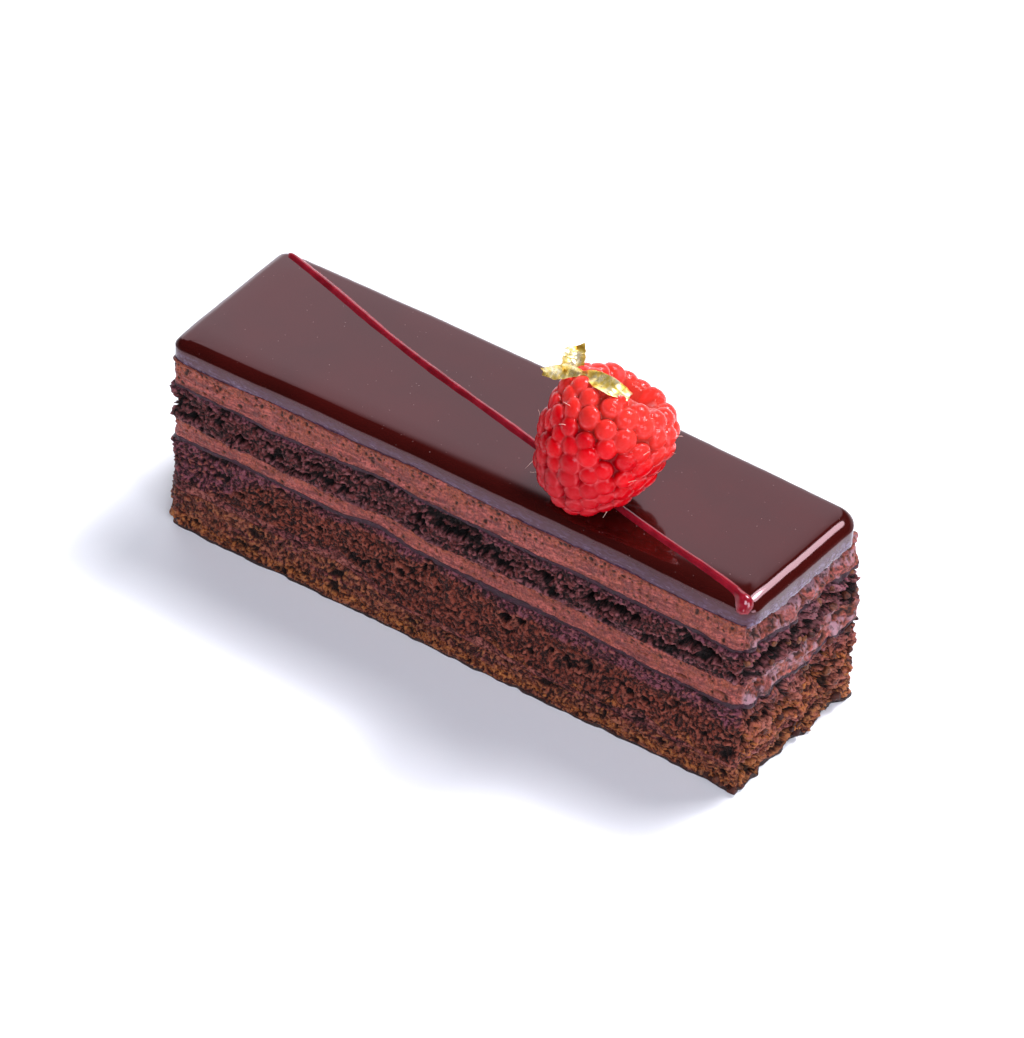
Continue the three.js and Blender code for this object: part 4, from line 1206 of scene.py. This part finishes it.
def berry_shape(directions, drupelets, sizes):
    """Distances from the middle of the berry to its surface, and how the drupelets divide it."""
    cosine = np.clip(directions[:, 2], -1, 1)
    skin = berry_radius(cosine)
    angles = np.arccos(np.clip(directions @ drupelets.T, -1, 1))
    reach = angles * skin[:, None] / sizes[None]
    nearest = np.argmin(reach, axis=1)
    reach = reach[np.arange(len(reach)), nearest]
    dome = np.sqrt(np.clip(1 - reach ** 2, 0, 1))
    skirt = 0.18 * np.exp(-np.maximum(reach - 0.9, 0) * 3)
    from_stem = np.minimum(np.arccos(-cosine) / STEM_HOLLOW_ANGLE, 1)
    hollow = 1 - from_stem ** 3
    radius = skin + DRUPELET_RISE * sizes[nearest] * dome + skirt - STEM_HOLLOW_DEPTH * hollow
    # dome, ring and low steer painted light: shade in the valleys and on the lower side, pale rims, and a
    # glow at the stem end.
    ring = np.exp(-((reach - 0.76) / 0.06) ** 2)
    low = smoothstep(cosine, -0.7, 0.9)
    return radius, {"dome": dome, "hollow": hollow, "ring": ring, "low": low}, nearest


def berry_hairs(drupelets, sizes, random):
    """Fine hairs that lean out from some drupelets, as paths from the middle of an upright berry."""
    paths = []
    levels, zones, _ = berry_shape(drupelets, drupelets, sizes)
    for direction, level, hollow in zip(drupelets, levels, zones["hollow"]):
        if hollow > 0 or random.uniform() > HAIR_SHARE:
            continue
        lean = random.normal(0, 1, 3)
        lean -= direction * (lean @ direction)
        lean /= np.linalg.norm(lean)
        outward = direction + lean * random.uniform(0.4, 1.6)
        outward /= np.linalg.norm(outward)
        bend = np.cross(direction, lean) * random.uniform(-0.5, 0.5)
        share = np.linspace(0, 1, 9)[:, None]
        length = random.uniform(*HAIR_LENGTHS)
        paths.append(direction * (level - 0.05) + length * (outward * share + bend * share ** 2))
    return paths


def raspberry_pieces(skin_material, hairs_material, surface):
    """The berry as one closed skin of drupelets, and its hairs; gives its middle and its surface."""
    drupelets = drupelet_directions()
    random = np.random.default_rng(11)
    sizes = random.uniform(*DRUPELET_SIZES, len(drupelets))
    tints = random.uniform(0, 1, len(drupelets))
    ball, faces = round_ball(BERRY_FINENESS)
    directions = unit(ball)
    radius, attributes, nearest = berry_shape(directions, drupelets, sizes)
    attributes["tint"] = tints[nearest]
    turn = np.array(Vector((0, 0, 1)).rotation_difference(BERRY_APEX).to_matrix())
    points = (directions * radius[:, None]) @ turn.T
    middle = np.array([*BERRY_PLACE, top_height(BERRY_PLACE[0]) - BERRY_SINK - points[:, 2].min()])
    points = points + middle
    route = spline(COULIS_ROUTE, 300)
    near = points[:, 2] < HEIGHT + BERRY_FOOT
    plan = points[near, :2]
    distance = np.min(np.linalg.norm(plan[:, None] - route[None], axis=2), axis=1)
    groove = 1 - smoothstep(distance, COULIS_WIDTH / 2, GROOVE_REACH)
    floor = heights_on(surface, plan) + BERRY_CLEARANCE + groove * COULIS_HEIGHT
    points[near, 2] = np.maximum(points[near, 2], floor)
    add_piece("raspberry_fruit", points, [faces], skin_material, attributes, ["raspberry"])
    berry = BVHTree.FromPolygons(points.tolist(), faces.tolist())

    hairs = [path @ turn.T + middle for path in berry_hairs(drupelets, sizes, random)]
    hairs = [path for path in hairs if path[:, 2].min() > HEIGHT + HAIR_CLEARANCE]
    points, faces = tubes(hairs, *HAIR_RADII, HAIR_SIDES)
    add_piece("raspberry_hairs", points, faces, hairs_material)
    return middle, berry


def tubes(paths, start_radius, end_radius, sides):
    """Thin closed tapering tubes along the given paths, as points and faces of one mesh."""
    points = []
    quads = []
    ends = []
    for path in paths:
        first = sum(len(group) for group in points)
        tangent = unit(np.gradient(path, axis=0))
        side = unit(np.cross(tangent, (0.3, 0.2, 0.93)))
        other = np.cross(tangent, side)
        radius = np.linspace(start_radius, end_radius, len(path))[:, None, None]
        angles = np.arange(sides)[:, None] / sides * 2 * math.pi
        ring = np.cos(angles) * side[:, None] + np.sin(angles) * other[:, None]
        points.append((path[:, None] + radius * ring).reshape(-1, 3))
        for step in range(len(path) - 1):
            here = first + step * sides + np.arange(sides)
            there = here + sides
            quads.append(np.stack([here, np.roll(here, -1), np.roll(there, -1), there], axis=1))
        ends.append((first + np.arange(sides))[::-1])
        ends.append(first + (len(path) - 1) * sides + np.arange(sides))
    return np.concatenate(points), [np.concatenate(quads), np.array(ends)]


# Gold leaf

def from_view(points):
    """Offsets in the slice's frame of offsets to the right, up and towards the camera."""
    axes = np.array([VIEW_RIGHT, VIEW_UP, VIEW_RIGHT.cross(VIEW_UP)])
    return np.array(points, float) @ axes


def resting_route(route, middle, berry):
    """Moves a route towards or away from the camera, so that its last points lie just above the berry."""
    settled = np.array(route, float)
    towards = from_view((0, 0, 1))
    far = 40.0
    first = len(route) - LEAF_RESTING
    lowest = -far
    for k in range(first, len(route)):
        start = middle + from_view((*route[k][:2], far))
        distance = berry.ray_cast(Vector(start), Vector(-towards))[3]
        above = lowest if distance is None else far - distance + LEAF_LIFT
        settled[k, 2] = max(above, lowest)
        lowest = settled[k, 2] - LEAF_FALL
    settled[:first, 2] += settled[first, 2] - route[first][2]
    return settled


def leaf_piece(name, route, scrap, middle, material, node, seed):
    """A crumpled scrap of leaf along a route, with torn edges and a hair's thickness."""
    columns = LEAF_COLUMNS
    rows = LEAF_ROWS
    route = spline(from_view(route), columns)
    widths = from_view(scrap["widths"])
    knots = np.linspace(0, 1, len(widths))
    along = np.linspace(0, 1, columns)
    across = np.stack([np.interp(along, knots, widths[:, k]) for k in range(3)], axis=1)
    normal = unit(np.cross(np.gradient(route, axis=0), across))
    share = np.linspace(-0.5, 0.5, rows)
    flat = np.column_stack([np.linspace(0, 9, columns), np.zeros(columns), np.full(columns, seed)])
    torn_high = 1 + 0.08 * layered_noise(flat, 0.9, seed, 3)
    torn_low = 1 + 0.08 * layered_noise(flat, 0.9, seed + 3, 3)
    sideways = np.where(share > 0, torn_high[:, None], torn_low[:, None]) * share
    sheet = route[:, None] + across[:, None] * sideways[..., None]
    spots = sheet.reshape(-1, 3)
    fold = np.abs(noise(spots, 1.3, seed + 5)) + 0.4 * np.abs(noise(spots, 0.6, seed + 6))
    crumple = (LEAF_CRUMPLE * fold + 0.015 * noise(spots, 0.35, seed + 7)).reshape(columns, rows)
    curl = scrap["curl"] * np.where(share > 0, 4.0, 1.0) * share ** 2
    sheet = sheet + normal[:, None] * (crumple + curl)[..., None]
    upper = sheet + normal[:, None] * LEAF_THICKNESS
    points = np.concatenate([sheet.reshape(-1, 3), upper.reshape(-1, 3)]) + middle
    lower_faces = grid_faces(columns, rows, 0, False)
    upper_faces = grid_faces(columns, rows, columns * rows, False)[:, ::-1]
    rim = list(range(rows))
    rim += [c * rows + rows - 1 for c in range(1, columns)]
    rim += [(columns - 1) * rows + k for k in range(rows - 2, -1, -1)]
    rim += [c * rows for c in range(columns - 2, 0, -1)]
    rim = np.array(rim)
    beyond = np.roll(rim, -1)
    top = columns * rows
    rim_faces = np.stack([beyond, rim, rim + top, beyond + top], axis=1)
    add_piece(name, points, [lower_faces, upper_faces, rim_faces], material, None, [node])


# Building

golden = ("2c0c04", "76361a", "b26a36")
purple = ("1b060b", "431922", "7b424e")
plum = ("1e0708", "481a1d", "7e4446")
# The last two colours of each crumb are its painted highlight, on crests and flecks, and its painted shade,
# in gaps and holes.
crumb_top = crumb_material(
    "crumb_top", ("090202", "34110f", "622825"), golden, purple, ("2a1114", "5a3236", "93656c"),
    "935556", "060302")
crumb_middle = crumb_material(
    "crumb_middle", ("0f0302", "43160e", "7d3828"), golden, purple, ("321112", "6b3837", "ac6d70"),
    "9d5645", "0a0403")
crumb_bottom = crumb_material(
    "crumb_bottom", ("1d0704", "522015", "884330"), golden, plum, ("321210", "683327", "9d5b46"),
    "ae6c40", "0e0503")
crumb_low = crumb_material(
    "crumb_low", ("1e0707", "53211f", "87423c"), golden, plum, ("321210", "68332c", "9d5b50"),
    "925551", "120605")
# The last colour of the ganache serves for dark specks and for painted shade in its hollows and bubbles.
ganache = cream_material(
    "ganache", ("6c322e", "b45a4f", "5d2524"), "94482a", "9c757e", "301311", "240b08")
# The jam's last colour is that of its painted glints.
jam = jam_material("jam", "1e060e", "310f1e", "51283a")
materials = {
    "chocolate_base": chocolate_material(),
    "sponge_bottom": crumb_bottom,
    "ganache_bottom": crumb_low,
    "sponge_middle": crumb_middle,
    "jam_middle": jam,
    "ganache_middle": ganache,
    "sponge_top": crumb_top,
    "jam_top": jam,
    "ganache_top": ganache,
}
sides = {layer: cut_layer(layer, materials[layer]) for layer in LAYERS}
loose_crumbs(sides, loose_crumb_material())
glaze_surface = glaze_piece(glaze_material())
coulis_piece(coulis_material(), glaze_surface)
berry_middle, berry = raspberry_pieces(raspberry_material(), hair_material(), glaze_surface)
gold = gold_material()
strip_route = resting_route(LEAF_STRIP["route"], berry_middle, berry)
flap_route = np.array(LEAF_FLAP["route"])
flap_route[:, 2] += strip_route[LEAF_FOOT, 2] - LEAF_STRIP["route"][LEAF_FOOT][2]
leaf_piece("gold_leaf_strip_sheet", strip_route, LEAF_STRIP, berry_middle, gold, "gold_leaf_strip", 301)
leaf_piece("gold_leaf_flap_sheet", flap_route, LEAF_FLAP, berry_middle, gold, "gold_leaf_flap", 302)


# Studio

def fade_out(light, inner, outer):
    """Lets a light shine fully near its middle, within the inner distance, and not beyond the outer one."""
    light.data.use_nodes = True
    tree = light.data.node_tree
    place = tree.nodes.new("ShaderNodeNewGeometry")
    distance = tree.nodes.new("ShaderNodeVectorMath")
    distance.operation = "DISTANCE"
    distance.inputs[1].default_value = light.location
    tree.links.new(place.outputs["Position"], distance.inputs[0])
    strength = tree.nodes.new("ShaderNodeMapRange")
    strength.interpolation_type = "SMOOTHSTEP"
    strength.inputs["From Min"].default_value = outer
    strength.inputs["From Max"].default_value = inner
    tree.links.new(distance.outputs["Value"], strength.inputs["Value"])
    tree.links.new(strength.outputs["Result"], tree.nodes["Emission"].inputs["Strength"])


def area_light(name, direction, distance, size, radiance, colour, round_shape=False):
    """A light that looks at the slice; radiance is what a mirror would show of it."""
    lamp = bpy.data.lights.new(name, "AREA")
    lamp.shape = "DISK" if round_shape else "SQUARE"
    lamp.size = size
    lamp.energy = radiance * math.pi * size ** 2 * (math.pi / 4 if round_shape else 1)
    lamp.color = colour
    light = bpy.data.objects.new(name, lamp)
    towards = Vector(direction).normalized()
    light.location = LIGHTS_AIM + towards * distance
    light.rotation_euler = (-towards).to_track_quat("-Z", "Y").to_euler()
    light.visible_camera = False
    bpy.context.scene.collection.objects.link(light)
    return light


def studio_floor():
    mesh = bpy.data.meshes.new("floor")
    corners = [(x * FLOOR_REACH, y * FLOOR_REACH, 0) for x, y in ((-1, -1), (1, -1), (1, 1), (-1, 1))]
    mesh.from_pydata(corners, [], [(0, 1, 2, 3)])
    floor = bpy.data.objects.new("floor", mesh)
    material = bpy.data.materials.new("floor")
    material.use_nodes = True
    shader = material.node_tree.nodes["Principled BSDF"]
    shader.inputs["Base Color"].default_value = (0.9, 0.9, 0.9, 1)
    shader.inputs["Roughness"].default_value = 0.9
    shader.inputs["Specular IOR Level"].default_value = 0.0
    mesh.materials.append(material)
    bpy.context.scene.collection.objects.link(floor)


def studio_world():
    """Bright round the horizon, dim above it."""
    world = bpy.data.worlds.new("studio")
    bpy.context.scene.world = world
    world.use_nodes = True
    tree = world.node_tree
    background = tree.nodes["Background"]
    place = tree.nodes.new("ShaderNodeTexCoord")
    split = tree.nodes.new("ShaderNodeSeparateXYZ")
    tree.links.new(place.outputs["Generated"], split.inputs[0])
    ramp = tree.nodes.new("ShaderNodeValToRGB")
    tree.links.new(split.outputs["Z"], ramp.inputs["Fac"])
    elements = ramp.color_ramp.elements
    elements[0].position, elements[0].color = 0.1, (1.0, 1.0, 1.05, 1)
    elements[1].position, elements[1].color = 0.35, (0.05, 0.05, 0.058, 1)
    tree.links.new(ramp.outputs["Color"], background.inputs["Color"])
    background.inputs["Strength"].default_value = 1.0


def camera():
    back = VIEW_RIGHT.cross(VIEW_UP).normalized()
    up = back.cross(VIEW_RIGHT)
    data = bpy.data.cameras.new("camera")
    data.lens = LENS
    data.sensor_width = SENSOR_WIDTH
    data.clip_start = 0.01
    data.clip_end = 50
    view = bpy.data.objects.new("camera", data)
    place = (EYE + VIEW_RIGHT * VIEW_PAN + Vector(SHIFT)) * MM
    turn = Matrix((VIEW_RIGHT, up, back)).transposed()
    view.matrix_world = Matrix.Translation(place) @ turn.to_4x4()
    bpy.context.scene.collection.objects.link(view)
    bpy.context.scene.camera = view


studio_floor()
studio_world()
area_light("key", KEY_DIRECTION, 0.65, 0.38, 14.0, KEY_WHITE, round_shape=True)
area_light("spark", KEY_DIRECTION, 0.64, 0.13, 45.0, KEY_WHITE, round_shape=True)
backdrop = area_light("backdrop", (-0.62, 0.66, 0.42), 1.3, 1.9, 1.8, KEY_WHITE)
fade_out(backdrop, 0.53, 0.67)
area_light("fill", (0.43, -0.64, 0.64), 1.2, 0.5, 9.4, (0.92, 0.97, 1.14))
area_light("side", (0.85, -0.35, 0.40), 1.2, 0.5, 7.6, (0.95, 0.97, 1.1))
camera()
bpy.context.scene.view_settings.view_transform = "Standard"
